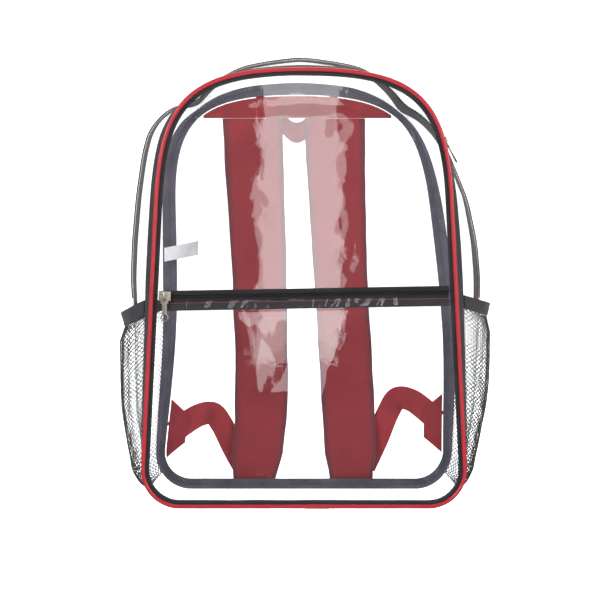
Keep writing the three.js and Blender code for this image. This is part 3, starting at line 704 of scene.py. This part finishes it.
around = closed_loop(loop_shares)
stitch_margin = 1.3
stitch_level = gap + tape_wall + 0.05
for face, side_name in ((-1, "front"), (1, "back")):
    inner_row = edge_point(around, face, -panel_leg + stitch_margin, stitch_level)
    across = face * (1 - (gusset_leg - stitch_margin) / half_depth)
    outer_row = gusset_point(around, across, stitch_level)
    rows = [
        spaced(inner_row, straight_out(inner_row, face), stitch_pitch),
        spaced(outer_row, outward_from_gusset(around, across), stitch_pitch),
    ]
    sew(f"{side_name}_tape_stitches", rows, black_stitch, "black_tape")

# Piping
# A round cord of red vinyl with its flange caught in the front seam. Its two ends meet under the middle
# of the base, where a short sleeve of the same vinyl is wrapped over them.
piping_radius = 2.05
sleeve_from, sleeve_to = -1, 27

piping_vinyl, tree = start_material("extruded red vinyl")
hue = colour_between(tree, noise(tree, 0.018, 5.0, 0.6), "#961822", "#B8242F")
grain = raised(tree, noise(tree, 0.0016, 2.0), 0.00006, 0.5)
coat = {"Coat Weight": 0.25, "Coat Roughness": 0.2}
dress(tree, {"Base Color": hue, "Roughness": 0.38, "Normal": grain, **coat})


def tube_mesh(rings, loop):
    """Vertices, faces and a UV in metres for a closed section carried along."""
    stations, size = rings.shape[:2]
    faces = []
    for i in range(stations if loop else stations - 1):
        k = (i + 1) % stations
        a, b = np.arange(size), (np.arange(size) + 1) % size
        faces.append(np.stack([i * size + a, k * size + a, k * size + b, i * size + b], axis=1))
    vertices = rings.reshape(-1, 3)
    lengths = lengths_along(rings.mean(axis=1))
    girth = np.linalg.norm(np.diff(closed_loop(rings[0]), axis=0), axis=1).cumsum()
    u = np.repeat(lengths, size)
    uv = np.stack([u, np.tile(girth, stations)], axis=1) * MM
    if not loop:
        ends = rings[[0, -1]].mean(axis=1)
        first, last = len(vertices), len(vertices) + 1
        vertices = np.vstack([vertices, ends])
        uv = np.vstack([uv, uv[:1], uv[-1:]])
        a, b = np.arange(size), (np.arange(size) + 1) % size
        start = (stations - 1) * size
        faces.append(np.stack([a, b, np.full(size, first), np.full(size, first)], axis=1))
        faces.append(np.stack([start + b, start + a, np.full(size, last), np.full(size, last)], axis=1))
    return vertices, np.concatenate(faces), uv


def piping_rings(shares, radius):
    turn = np.linspace(0, 2 * math.pi, 17)[:-1][None, :]
    radius = np.broadcast_to(radius, shares.shape)[:, None]
    beyond = gap + tape_wall + gap + piping_radius
    return edge_point(shares[:, None], -1, radius * np.cos(turn), beyond + radius * np.sin(turn))


swell = 1 + 0.03 * ripple(loop_shares * seam_length, 0 * loop_shares, 30, 51)
piping = tube_mesh(piping_rings(loop_shares, piping_radius * swell), True)
make_piece("piping", piping, piping_vinyl, "red_piping", "front_piping")

sleeve_at = np.linspace(-1, 1, 4001)
sleeve_x = edge_point(sleeve_at, -1, 0, 0)[:, 0]
on_base = (np.abs(sleeve_at) < 0.18) & (sleeve_x >= sleeve_from) & (sleeve_x <= sleeve_to)
sleeve_shares = np.linspace(*sleeve_at[on_base][[0, -1]], 12)
sleeve_radius = np.r_[piping_radius * 0.7, np.full(10, piping_radius * 1.13), piping_radius * 0.7]
sleeve = tube_mesh(piping_rings(sleeve_shares, sleeve_radius), False)
make_piece("piping_sleeve", sleeve, piping_vinyl, "red_piping")

# Main zip
# A black nylon coil zip over the top: a 30 mm woven tape sewn under the clear strips with red thread,
# the coil standing in the slot between them, and a bartack of red thread at each end.
chain_width = 5
chain_height = 2
tooth_pitch = 1.7
tape_lift = -cad_wall - gap
tape_shares = np.r_[np.linspace(tuck_share, 1, 150)[:-1], np.linspace(-1, -tuck_share, 150)]
tape_columns = np.array([tape_front, lap_front, zip_across - 0.02, zip_across + 0.02, lap_rear, tape_rear])

# Woven zip tape: finer than the seam tape, with a faint twill
zip_cloth = woven("woven zip tape", "#131316", "#2B2B30", 0.0011, 0.00008)
tape_places = gusset_point(tape_shares[:, None], tape_columns[None, :], tape_lift)
make_piece("main_tape", sheet_mesh(tape_places, tape_wall), zip_cloth, "black_tape", "main_zip_tape")

# Nylon coil, wound and heat set: smooth black plastic with small bright points of light on each turn
nylon, tree = start_material("black nylon coil")
smear = remap(tree, noise(tree, 0.004, 2.0), (0, 1), (0.25, 0.5))
dress(tree, {"Base Color": linear("#1C1C20"), "Roughness": smear, "Specular IOR Level": 0.6})
coil_tooth = bead_tree("coil tooth", nylon, 8, 5)
tooth_size = (3.0, 1.15, 1.5)
tooth_aside = 1.05
tooth_slant = 0.28


def coil(name, path, out, cad_node):
    """Two rows of slanted turns that lock into each other along the path."""
    rows = []
    for row, side in enumerate((-1, 1)):
        points, heading, outs = spaced(path, out, tooth_pitch)
        heading /= np.linalg.norm(heading, axis=1)[:, None]
        outs /= np.linalg.norm(outs, axis=1)[:, None]
        across = np.cross(outs, heading)
        points = points + across * side * tooth_aside + heading * row * tooth_pitch / 2
        rows.append((points, across * side + heading * tooth_slant, outs))
    settle(beads(name, rows, tooth_size, coil_tooth), "black_coil", cad_node)


chain_shares = np.r_[np.linspace(zip_share, 1, 700)[:-1], np.linspace(-1, -zip_share, 700)]
coil_lift = tape_lift + gap + chain_height * 0.45
coil_path = gusset_point(chain_shares, zip_across, coil_lift)
coil("main_coil", coil_path, outward_from_gusset(chain_shares, zip_across), "main_zip_chain")

# The strips are sewn to the zip tape with a red row on each side, and three times across at both zip ends
rows = []
for across in (lap_front - 0.03, lap_rear + 0.03):
    rows.append(spaced(dented(over_top, across, 0.1), outward_from_gusset(over_top, across), stitch_pitch))
bartack_pitch = 2.0
bartack_line = np.linspace(tape_front, tape_rear, 40)
for end in (-zip_share, zip_share):
    for k in range(3):
        path = gusset_point(end + math.copysign(0.0012 * k, end), bartack_line, 0.35)
        rows.append(spaced(path, outward_from_gusset(np.full(40, end), bartack_line), bartack_pitch))
sew("main_zip_stitches", rows, red_stitch, "red_cloth")

# Front pocket
# A second clear sheet over the low half of the front, sewn in round the sides and base and closed by a
# black coil zip. Its top edge is folded over a black tape and sewn with red thread.
pocket_top = 199.7
pocket_bulge = 8
pocket_tilt = 0.0177
edge_tape_low, edge_tape_high = 195.5, 204
pocket_tape_low, pocket_tape_high = 200, 215.5
pocket_chain_low = 207.5
pocket_inset = 7.2


def front_width(height, inset):
    """Half the width of the front at a height above the base seam, less an inset."""
    return edge_point(share_at(height, -inset), -1, -inset, 0)[..., 0]


def pocket_layer(across, height):
    rise = np.clip((height - pocket_inset) / (pocket_top - pocket_inset), 0, 1)
    return gap + pocket_bulge * np.sin(math.pi * rise) * (1 - across**2)


def front_strip(low, high, layer, rows=4, columns=90):
    """A strip across the front whose outer side lies a layer out from the front panel."""
    heights = np.linspace(low, high, rows)[None, :]
    reach = front_width((low + high) / 2, pocket_inset)
    x = np.linspace(-reach, reach, columns)[:, None]
    x, heights = np.broadcast_arrays(x, heights)
    return np.stack([x, np.full_like(x, -half_depth - layer), seam_lift + heights + pocket_tilt * x], axis=-1)


def pocket_sheet():
    heights = pocket_inset + (pocket_top - pocket_inset) * np.sin(np.linspace(0, math.pi / 2, 110)) ** 1.4
    fold = np.array([pocket_top + 1.5, pocket_top + 3, pocket_top + 4.8])
    heights = np.r_[heights, fold][:, None]
    across = np.linspace(-1, 1, 130)[None, :]
    across, heights = np.broadcast_arrays(across, heights)
    x = across * front_width(heights, pocket_inset)
    tilt = pocket_tilt * x * np.clip(heights / pocket_top, 0, 1)
    inside = np.minimum(np.minimum(1 - np.abs(across), (heights - pocket_inset) / 150) * 8, 1)
    low = ease((46 - heights) / 34)
    corner = low * ease((np.abs(x) - 50) / 70)
    crease = 1 - np.abs(ripple(x * 0.8 + 20, heights * 1.4, 44, 61))
    streak = 1 - np.abs(ripple(x * 0.35, heights * 1.5, 30, 62))
    soft = 0.35 * ripple(x, heights, 120, 63) + 0.12 * ripple(x, heights, 50, 64)
    over_tape = (tape_wall + 2 * gap) * ease((heights - edge_tape_low + 3) / 5)
    ruck = 0.35 * over_tape * np.abs(ripple(x, heights, 26, 66))
    layer = pocket_layer(across, heights) + cad_wall + over_tape + ruck
    layer = layer + ease(inside) * (soft + 1.7 * corner * crease + 0.9 * low * streak)
    y = -half_depth - np.maximum(layer, gap + sheet_wall)
    return sheet_mesh(np.stack([x, y, seam_lift + heights + tilt], axis=-1), sheet_wall)


make_piece("pocket_sheet", pocket_sheet(), clear_pvc, "clear_pvc", "pocket_panel")
edge_layer = gap + cad_wall + gap + tape_wall
hem_places = front_strip(edge_tape_low, edge_tape_high, edge_layer + 0.6)
make_piece("pocket_hem", sheet_mesh(hem_places, tape_wall), black_tape, "black_tape", "pocket_edge_tape")
tape_places = front_strip(pocket_tape_low, pocket_tape_high, gap + tape_wall)
make_piece("pocket_tape", sheet_mesh(tape_places, tape_wall), zip_cloth, "black_tape", "pocket_zip_tape")
coil_layer = gap + tape_wall + gap + chain_height * 0.45
coil_height = pocket_chain_low + chain_width / 2
coil_path = front_strip(coil_height, coil_height, coil_layer, rows=1)[:, 0]
coil("pocket_coil", coil_path, straight_out(coil_path, -1), "pocket_zip_chain")

hem_height = edge_tape_high - 0.9
hem_path = front_strip(hem_height, hem_height, edge_layer + 1.9, rows=1)[:, 0]
hem_row = spaced(hem_path, straight_out(hem_path, -1), stitch_pitch)
sew("pocket_hem_stitches", [hem_row], red_stitch, "red_cloth")

# Sliders and pulls
# Each slider and its pull are zinc castings with bright nickel plate. The slider straddles the coil, and
# the pull hangs on the bridge and swings, so it rides on its own body.
nickel, tree = start_material("nickel plated zinc")
haze = noise(tree, 0.003, 4.0, 0.6)
hue = colour_between(tree, haze, "#DCCFB8", "#F8F0E2")
rough = remap(tree, haze, (0.3, 0.75), (0.3, 0.46))
dented_plate = raised(tree, haze, 0.00005, 0.4)
dress(tree, {"Base Color": hue, "Metallic": 1.0, "Roughness": rough, "Normal": dented_plate})


def rounded_copy(node, name, material, width, slot, body):
    """A copy of a CAD node with its edges rounded as a casting's are."""
    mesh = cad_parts[node].data.copy()
    mesh.name = name
    mesh.materials.clear()
    mesh.materials.append(material)
    piece = bpy.data.objects.new(name, mesh)
    bpy.context.scene.collection.objects.link(piece)
    weld = piece.modifiers.new("weld", "WELD")
    weld.merge_threshold = 0.00001
    bevel = piece.modifiers.new("rounded edges", "BEVEL")
    bevel.width = width * MM
    bevel.segments = 3
    bevel.limit_method = "ANGLE"
    bevel.angle_limit = math.radians(35)
    rounded = work_in(piece)
    rounded.shade_smooth()
    rounded.set_sharp_from_angle(angle=math.radians(40))
    settle(piece, slot, node, body=body)


rounded_copy("pocket_slider", "pocket_slider_casting", nickel, 0.45, "bright_metal", "bag")
rounded_copy("pocket_pull", "pocket_pull_casting", nickel, 0.35, "bright_metal", "pocket_pull")
rounded_copy("main_slider", "main_slider_casting", nickel, 0.45, "bright_metal", "bag")
rounded_copy("main_pull", "main_pull_casting", nickel, 0.35, "bright_metal", "main_pull")

# Net side pockets
# Black knitted net, gathered a little into the seams, under a wide black elastic. Each net is sewn into
# both seam tapes and along the base. Its cells are drawn coarser than they are, so that they stay open.
net_bottom = 15
net_waist = 0.55
net_seat = 0.6
net_fullness = 13.5
net_wall = 1.2
elastic_height = 13
elastic_lean = 3
elastic_wall = 1.6
net_front = -(1 - (gusset_leg + gap) / half_depth)
net_rear = -net_front
cell_width, cell_height = 3.4, 4.2
strand_radius = 0.46
pocket_sides = [
    # name, side, top of the net, dip of its middle, fullness
    ("left", -1, 203, 16, 1.1),
    ("right", 1, 208, 10.5, 0.85),
]


def net_point(side, top, dip, fullness, along, over, lift):
    """A place on a net pocket, from its foot to the elastic and over from seam to seam."""
    rounded = 1 - over**2
    high = top - dip * rounded - elastic_height - gap
    low_share, high_share = share_at(net_bottom), share_at(high)
    share = low_share + (high_share - low_share) * along
    across = net_front + (net_rear - net_front) * (over + 1) / 2
    stand = net_fullness * fullness * rounded
    stand = stand * np.interp(along, [0, 0.04, 0.1, 0.5, 0.9, 1], [0.03, 0.6, 0.9, 1, 0.95, net_waist])
    return gusset_point(side * share, across, net_seat + stand + lift)


def strand_tree(material):
    """Turns the net's lines into thin round strands."""
    tree = bpy.data.node_groups.new("net strands", "GeometryNodeTree")
    input_socket(tree, "Lines", "NodeSocketGeometry")
    radius = input_socket(tree, "Radius")
    tree.interface.new_socket("Strands", in_out="OUTPUT", socket_type="NodeSocketGeometry")
    given = add(tree, "NodeGroupInput")
    lines = add(tree, "GeometryNodeMeshToCurve", {"Mesh": given.outputs[0]})
    ring = add(tree, "GeometryNodeCurvePrimitiveCircle", {"Resolution": 4, "Radius": given.outputs[1]})
    inputs = {"Curve": lines.outputs[0], "Profile Curve": ring.outputs[0], "Fill Caps": True}
    tubes = add(tree, "GeometryNodeCurveToMesh", inputs)
    smooth = add(tree, "GeometryNodeSetShadeSmooth", {"Geometry": tubes.outputs[0]})
    real = add(tree, "GeometryNodeRealizeInstances", {"Geometry": smooth.outputs[0]})
    dressed = add(tree, "GeometryNodeSetMaterial", {"Geometry": real.outputs[0], "Material": material})
    add(tree, "NodeGroupOutput", {0: dressed.outputs[0]})
    return tree, radius.identifier


# Knitted polyester yarn: soft black, a little lighter where it catches the light
yarn = thread("black polyester yarn", "#121214", 0.75)
strands, strand_input = strand_tree(yarn)
elastic_cloth = woven("ribbed elastic", "#18181B", "#36363B", 0.0016, 0.0002)


net_spare = 1.12
knot_swing, knot_wander, row_wander = 0.42, 0.05, 0.12


def net_lines(side, top, dip, fullness, seed):
    """Zigzag strands side by side that touch at every other turn, which leaves the diamonds open."""
    wide = 2 * half_depth * (net_rear - net_front) / 2 * net_spare
    tall = top - dip - elastic_height - net_bottom
    columns = int(wide / cell_width)
    rows = 2 * int(tall / cell_height)
    i = np.arange(columns + 1)[:, None]
    j = np.arange(rows + 1)[None, :]
    swing = np.where((i + j) % 2 == 0, knot_swing, -knot_swing)
    draw = np.random.default_rng(seed)
    over = -1 + 2 * (i + swing + draw.normal(0, knot_wander, (columns + 1, rows + 1))) / columns
    along = (j + draw.normal(0, row_wander, (columns + 1, rows + 1))) / rows
    along = np.clip(along, 0, 1)
    along[:, 0], along[:, -1] = 0, 1
    over = np.clip(over, -1, 1)
    folds = 1.1 * ripple(over * 60, along * 20, 16, seed + 1) * np.sin(math.pi * along) ** 0.4 * (1 - over**4)
    places = net_point(side, top, dip, fullness, along, over, net_wall / 2 + folds * 0.6)
    vertices = places.reshape(-1, 3)
    ids = np.arange(len(vertices)).reshape(columns + 1, rows + 1)
    return vertices, np.stack([ids[:, :-1].ravel(), ids[:, 1:].ravel()], axis=1)


for name, side, top, dip, fullness in pocket_sides:
    vertices, edges = net_lines(side, top, dip, fullness, 70 + side)
    lines = bpy.data.meshes.new(f"net_{name}")
    lines.from_pydata(((vertices + shift) * MM).tolist(), edges.tolist(), [])
    net = grow(f"net_{name}", lines, strands, {strand_input: strand_radius * MM})
    settle(net, "black_net", f"net_pocket_{name}")
    up, over = np.linspace(0, 1, 7)[None, :], np.linspace(-1, 1, 60)[:, None]
    rounded = 1 - over**2
    height = top - dip * rounded - elastic_height * (1 - up)
    stand = (net_fullness * fullness * net_waist + elastic_lean * up) * rounded
    ruck = 0.35 * rounded * ripple(over * 52 + 0 * up, 0 * over + up * 6, 9, 75 + side)
    across = net_front + (net_rear - net_front) * (over + 1) / 2
    band = gusset_point(side * share_at(height), across, net_seat + stand + elastic_wall + ruck)
    elastic_name = f"pocket_elastic_{name}"
    make_piece(f"elastic_{name}", sheet_mesh(band, elastic_wall), elastic_cloth, "black_tape", elastic_name)
    rows = []
    across, rounded = across[:, 0], rounded[:, 0]
    for up_share in (0.12, 0.88):
        height = top - dip * rounded - elastic_height * (1 - up_share)
        stand = (net_fullness * fullness * net_waist + elastic_lean * up_share) * rounded + 0.1
        path = gusset_point(side * share_at(height), across, net_seat + stand + elastic_wall)
        rows.append(spaced(path, outward_from_gusset(side * share_at(height), across), stitch_pitch))
    sew(f"elastic_stitches_{name}", rows, black_stitch, "black_tape")

# Yoke and haul loop
# A patch of red ribbed canvas fills the arch of the back above the straps, sewn along its lower edge in
# two rows. A loop of red webbing is sewn to it at both ends and hangs out behind.
cloth_wall = 1.5
webbing_wall = 1.8
yoke_low = seam_lift + bag_height + back_rise - 31.5
yoke_tip = 3
loop_span, loop_seat = 90, 0.08
loop_reach, loop_fullness = 20, 0.7
loop_shift, loop_drop, loop_raise = 8, 26, 13
loop_width = 23

# The real canvas and webbing have ribs of about 0.6 and 1 mm. They are drawn coarser, so that they show.
red_canvas = woven("red ribbed canvas", "#84161F", "#B52C36", 0.0011, 0.00012, rough=0.62, sheen=0.25)
red_webbing = woven("red ribbed webbing", "#8A1721", "#C22E3A", 0.0015, 0.0002, rough=0.6, sheen=0.25)

yoke_end = float(share_at(yoke_low + yoke_tip - seam_lift - back_rise, -pocket_inset))
yoke_shares = np.r_[np.linspace(yoke_end, 1, 60), np.linspace(-1, -yoke_end, 60)[1:]]
yoke_up = np.linspace(0, 1, 9)[None, :]
yoke_places = edge_point(yoke_shares[:, None], 1, -pocket_inset, gap + cloth_wall + 0 * yoke_up)
yoke_places[..., 2] = yoke_low + (yoke_places[..., 2] - yoke_low) * yoke_up
yoke_places[..., 1] += 0.25 * ripple(yoke_places[..., 0], yoke_places[..., 2], 40, 81)
make_piece("yoke_canvas", sheet_mesh(yoke_places, cloth_wall), red_canvas, "red_cloth", "yoke")
rows = []
line = np.linspace(yoke_places[0, 0, 0] - 7, yoke_places[-1, 0, 0] + 7, 200)
for up_mm in (2.5, 6.5):
    for level, way in ((half_depth + gap - 0.05, -1), (half_depth + gap + cloth_wall + 0.3, 1)):
        path = np.stack([line, np.full(200, level), np.full(200, yoke_low + up_mm)], axis=1)
        rows.append(spaced(path, straight_out(path, way), stitch_pitch))
sew("yoke_stitches", rows, red_stitch, "red_cloth")

along = np.linspace(0, 1, 90)[:, None]
edge = np.linspace(-1, 1, 7)[None, :]
free = np.clip((along - loop_seat) / (1 - 2 * loop_seat), 0, 1)
arch = np.sin(math.pi * free)
loop_x, loop_edge = np.broadcast_arrays(loop_span * (along - 0.5) - loop_shift, edge)
loop_y = half_depth + gap + cloth_wall + gap + loop_reach * arch**loop_fullness + webbing_wall
loop_z = yoke_low + loop_raise - loop_drop * arch**2 + loop_edge * loop_width / 2
loop_places = np.stack([loop_x, loop_y + 0 * loop_edge, loop_z], axis=-1)
make_piece("haul_loop_webbing", sheet_mesh(loop_places, webbing_wall), red_webbing, "red_cloth", "haul_loop")

# Shoulder straps
# Wide padded straps of the same canvas, with foam inside and a row of red stitches along each edge.
# They hang from the yoke, stand a little off the back and taper to the buckles.
strap_wall = 4.5
strap_width, strap_spread, strap_drift = 66, 45.3, 11.3
strap_stand, strap_end = 20, 10
strap_top = yoke_low - gap
strap_form = np.array(
    [
        # drop, spread, drift, stand, width
        (0.0, 1.0, -1.0, 0.02, 1.0),
        (0.12, 1.0, -0.9, 0.4, 0.98),
        (0.4, 1.0, -0.45, 1.0, 0.92),
        (0.7, 1.04, 0.0, 0.7, 0.88),
        (0.84, 1.08, 0.08, 0.35, 0.87),
        (0.93, 1.14, 0.0, 0.22, 0.86),
        (1.0, 1.18, -0.13, 0.18, 0.7),
    ]
)


def strap_read(column, drop):
    return np.interp(drop, strap_form[:, 0], strap_form[:, column])


def strap_middle(side, drop):
    """The middle of the strap's inner side at a share of the way down, in mm."""
    return np.stack(
        [
            side * strap_spread * strap_read(1, drop) + strap_drift * strap_read(2, drop),
            half_depth + gap + strap_stand * strap_read(3, drop),
            strap_top + (strap_end - strap_top) * drop,
        ],
        axis=-1,
    )


strap_seam_inset = 4.6


def strap_places(side, drop, across, face, seed):
    """A place on the padded strap: across from edge to edge, on its inner (0) or outer (1) face."""
    drop, across = np.broadcast_arrays(drop, across)
    place = strap_middle(side, drop)
    half_width = strap_width / 2 * strap_read(4, drop)
    from_edge = (1 - np.abs(across)) * half_width
    rim = np.clip(from_edge / 4.5, 0, 1)
    thick = strap_wall * (0.34 + 0.66 * np.sqrt(1 - (1 - rim) ** 2))
    seam = np.exp(-(((from_edge - strap_seam_inset) / 1.1) ** 2))
    x, z = across * 30, drop * 400
    wrinkle = 0.22 * ripple(x, z, 42, seed) + 0.1 * ripple(x, z, 17, seed + 1)
    thick = thick - 0.7 * seam - 0.3 + np.minimum(wrinkle, 0.3) * rim
    turned = 1 if face else -1
    place[..., 0] += across * half_width + 0.5 * ripple(z, 0 * drop + side * 9, 55, seed + 2) * across
    place[..., 1] += strap_wall / 2 + turned * thick / 2
    return place


# The edges of the canvas are turned in, and they are painted darker and bluer than the middle, as painted
# shade where they turn away from the light
strap_canvas, tree = start_material("padded strap canvas")
lay = add(tree, "ShaderNodeUVMap", uv_map="UVMap").outputs[0]
weave = weave_height(tree, lay, (290.0, 0.5), (260.0, 0.5))
patch = noise(tree, 0.03, 5.0, 0.6)
hue = colour_between(tree, patch, "#8F1D26", "#B42E37")
over_width = add(tree, "ShaderNodeSeparateXYZ", {0: lay}).outputs["Y"]
outwards = maths(tree, "ABSOLUTE", maths(tree, "SUBTRACT", over_width, 0.5))
wobble = maths(tree, "MULTIPLY_ADD", patch, 0.16, outwards)
painted_edge_shade = remap(tree, wobble, (0.43, 0.58), (0.0, 0.75), interpolation_type="SMOOTHSTEP")
edged = colour_between(tree, painted_edge_shade, hue, "#64323F")
# Painted shade: the canvas is coloured darker in the grooves of its weave and lighter on the ribs
painted_rib_shade = remap(tree, weave, (0, 1), (0.84, 1.12))
tinted = add(tree, "ShaderNodeHueSaturation", {"Color": edged, "Value": painted_rib_shade}).outputs[0]
ribbed = raised(tree, weave, 0.00012)
dress(tree, {"Base Color": tinted, "Roughness": 0.62, "Sheen Weight": 0.25, "Normal": ribbed})

strap_seeds = (84, 88)
for name, side in (("left", -1), ("right", 1)):
    drops = np.linspace(0, 1, 150)[:, None]
    across = np.sin(np.linspace(-math.pi / 2, math.pi / 2, 22))[None, :]
    inner = strap_places(side, drops, across, 0, strap_seeds[0] + side)
    outer = strap_places(side, drops, across[:, ::-1], 1, strap_seeds[1] + side)
    rings = np.concatenate([inner, outer], axis=1)
    vertices, faces, uv = tube_mesh(rings, False)
    share = np.concatenate([across[0], across[0, ::-1]]) / 2 + 0.5
    uv[: rings.shape[0] * rings.shape[1], 1] = np.tile(share, rings.shape[0])
    uv[-2:, 1] = 0.5
    shape = (vertices, faces, uv)
    strap = make_piece(f"padded_strap_{name}", shape, strap_canvas, "red_cloth", f"shoulder_strap_{name}")
    rows = []
    drops = drops[:, 0]
    for face in (0, 1):
        for edge_side in (-1, 1):
            across = edge_side * (1 - strap_seam_inset / (strap_width / 2 * strap_read(4, drops)))
            path = strap_places(side, drops, across, face, strap_seeds[face] + side)
            rows.append(spaced(path, straight_out(path, 2 * face - 1), stitch_pitch))
    sew(f"strap_stitches_{name}", rows, red_stitch, "red_cloth")

# Tabs, webbing and buckles
# A folded canvas tab in each low side seam holds the webbing, which arches over and runs up behind the
# buckle at the strap's tip. The buckles are plain moulded ladder locks.
webbing_width, webbing_apex, webbing_reach = 25, 98, 92
webbing_seat = half_depth + gap + cloth_wall + gap
buckle_wall, buckle_height = 4, 27
tab_length, tab_height, tab_neck, tab_middle = 20, 65, 31, 72
webbing_form = np.array(
    [
        # inward, up, back
        (0.14, 0.76, 0.0),
        (0.24, 0.85, 0.0),
        (0.45, 0.99, 0.5),
        (0.6, 1.0, 1.0),
        (0.7, 0.86, 1.0),
        (0.85, 0.52, 1.0),
        (1.0, 0.22, 1.0),
    ]
)
lower_sides = [
    # name, side, top of the webbing's arch and middle of the tab against the right ones
    ("left", -1, 0.827, 0.917),
    ("right", 1, 1.0, 1.0),
]


def on_the_way(t, start, end, first, last):
    """Between two places that are reached at start and end, or beyond them."""
    return (end - t) / (end - start) * first + (t - start) / (end - start) * last


def smooth_curve(points, count):
    """Places along a centripetal Catmull-Rom curve through the points, and its headings there."""
    ends = np.vstack([2 * points[0] - points[1], points, 2 * points[-1] - points[-2]])
    knots = np.r_[0, np.cumsum(np.linalg.norm(np.diff(ends, axis=0), axis=1) ** 0.5)]
    places = []
    for i in range(1, len(ends) - 2):
        t = np.linspace(knots[i], knots[i + 1], 60)[:, None]
        (p0, p1, p2, p3), (t0, t1, t2, t3) = ends[i - 1 : i + 3], knots[i - 1 : i + 3]
        a1 = on_the_way(t, t0, t1, p0, p1)
        a2 = on_the_way(t, t1, t2, p1, p2)
        a3 = on_the_way(t, t2, t3, p2, p3)
        b1 = on_the_way(t, t0, t2, a1, a2)
        b2 = on_the_way(t, t1, t3, a2, a3)
        curve = on_the_way(t, t1, t2, b1, b2)
        at_end = i == len(ends) - 3
        places.append(curve if at_end else curve[:-1])
    path = np.vstack(places)
    lengths = lengths_along(path)
    at = np.linspace(0, lengths[-1], count)
    path = np.stack([np.interp(at, lengths, path[:, i]) for i in range(3)], axis=1)
    return path, np.gradient(path, axis=0)


# Moulded acetal: black, faintly grained, a little shinier where it is handled
moulded, tree = start_material("black moulded plastic")
handled = noise(tree, 0.012, 3.0)
hue = colour_between(tree, handled, "#141416", "#232326")
polish = remap(tree, handled, (0.3, 0.7), (0.28, 0.5))
grain = raised(tree, noise(tree, 0.0008, 3.0), 0.00005, 0.6)
dress(tree, {"Base Color": hue, "Roughness": polish, "Normal": grain})

buckle_drop = (strap_top - strap_end - buckle_height) / (strap_top - strap_end)
for name, side, apex, tab in lower_sides:
    middle = tab_middle * tab
    reach = abs(float(edge_point(side * share_at(middle - seam_lift), 1, 0, 0)[0]))
    behind = float(strap_middle(side, buckle_drop)[1]) + strap_wall + gap + buckle_wall + gap
    knots = np.stack(
        [
            side * (reach - webbing_reach * webbing_form[:, 0]),
            webbing_seat + (behind - webbing_seat) * webbing_form[:, 2],
            webbing_apex * apex * webbing_form[:, 1],
        ],
        axis=1,
    )
    path, heading = smooth_curve(knots, 110)
    aside = np.stack([heading[:, 2], 0 * heading[:, 1], -heading[:, 0]], axis=1)
    aside /= np.linalg.norm(aside, axis=1)[:, None]
    edge = np.linspace(-1, 1, 9)
    band = path[:, None, :] + aside[:, None, :] * edge[None, :, None] * webbing_width / 2
    band[..., 1] += webbing_wall
    shape = sheet_mesh(band, webbing_wall)
    make_piece(f"webbing_{name}", shape, red_webbing, "red_cloth", f"strap_webbing_{name}")

    inward = np.linspace(0, 1, 16)[:, None]
    edge = np.linspace(-1, 1, 17)[None, :]
    height = middle + edge * (tab_height + (tab_neck - tab_height) * inward) / 2
    root = edge_point(side * share_at(height - seam_lift, -pocket_inset), 1, -pocket_inset, gap + cloth_wall)
    root[..., 0] -= side * tab_length * inward
    root[..., 2] = height
    root[..., 1] += 0.15 * ripple(root[..., 0], root[..., 2], 22, 96 + side)
    shape = sheet_mesh(root, cloth_wall)
    make_piece(f"canvas_tab_{name}", shape, red_canvas, "red_cloth", f"strap_tab_{name}")
    rounded_copy(f"strap_buckle_{name}", f"ladder_lock_{name}", moulded, 0.8, "black_plastic", "bag")

# Care label
# A bare strip of white woven satin sewn into the left back seam. It hangs inside and curls forward.
label_low, label_height = 243, 15
label_length, label_tilt = 38, 0.19
label_forward, label_curl, label_wall = 8, 9, 0.8

satin, tree = start_material("white woven satin")
lay = add(tree, "ShaderNodeUVMap", uv_map="UVMap").outputs[0]
inputs = {"Vector": lay, "Scale": 420.0, "Distortion": 0.8, "Detail": 2.0}
floats = add(tree, "ShaderNodeTexWave", inputs, bands_direction="Y").outputs[1]
crumple_and_shade = noise(tree, 0.009, 2.0)
# Painted shade: the satin is coloured darker where its crumples dip, by the same noise that raises them
hue = colour_between(tree, crumple_and_shade, "#C9C8CC", "#F2F1F2")
creased = raised(tree, maths(tree, "MULTIPLY_ADD", floats, 0.1, crumple_and_shade), 0.0004)
dress(tree, {"Base Color": hue, "Roughness": 0.42, "Sheen Weight": 0.2, "Normal": creased})

inward, up = np.linspace(0, 1, 40)[:, None], np.linspace(0, 1, 12)[None, :]
inward, up = np.broadcast_arrays(inward, up)
label_share = -share_at(label_low + up * label_height)
label_places = gusset_point(label_share, 1 - label_forward / half_depth, -cad_wall - 2 * gap)
label_places[..., 0] += inward * label_length
label_places[..., 1] -= label_curl * inward**2 + 0.25 * inward * ripple(inward * 38, up * 15, 14, 99)
label_places[..., 2] += inward * label_length * label_tilt
make_piece("bare_label", sheet_mesh(label_places, label_wall * 0.7), satin, "white_satin", "care_label")
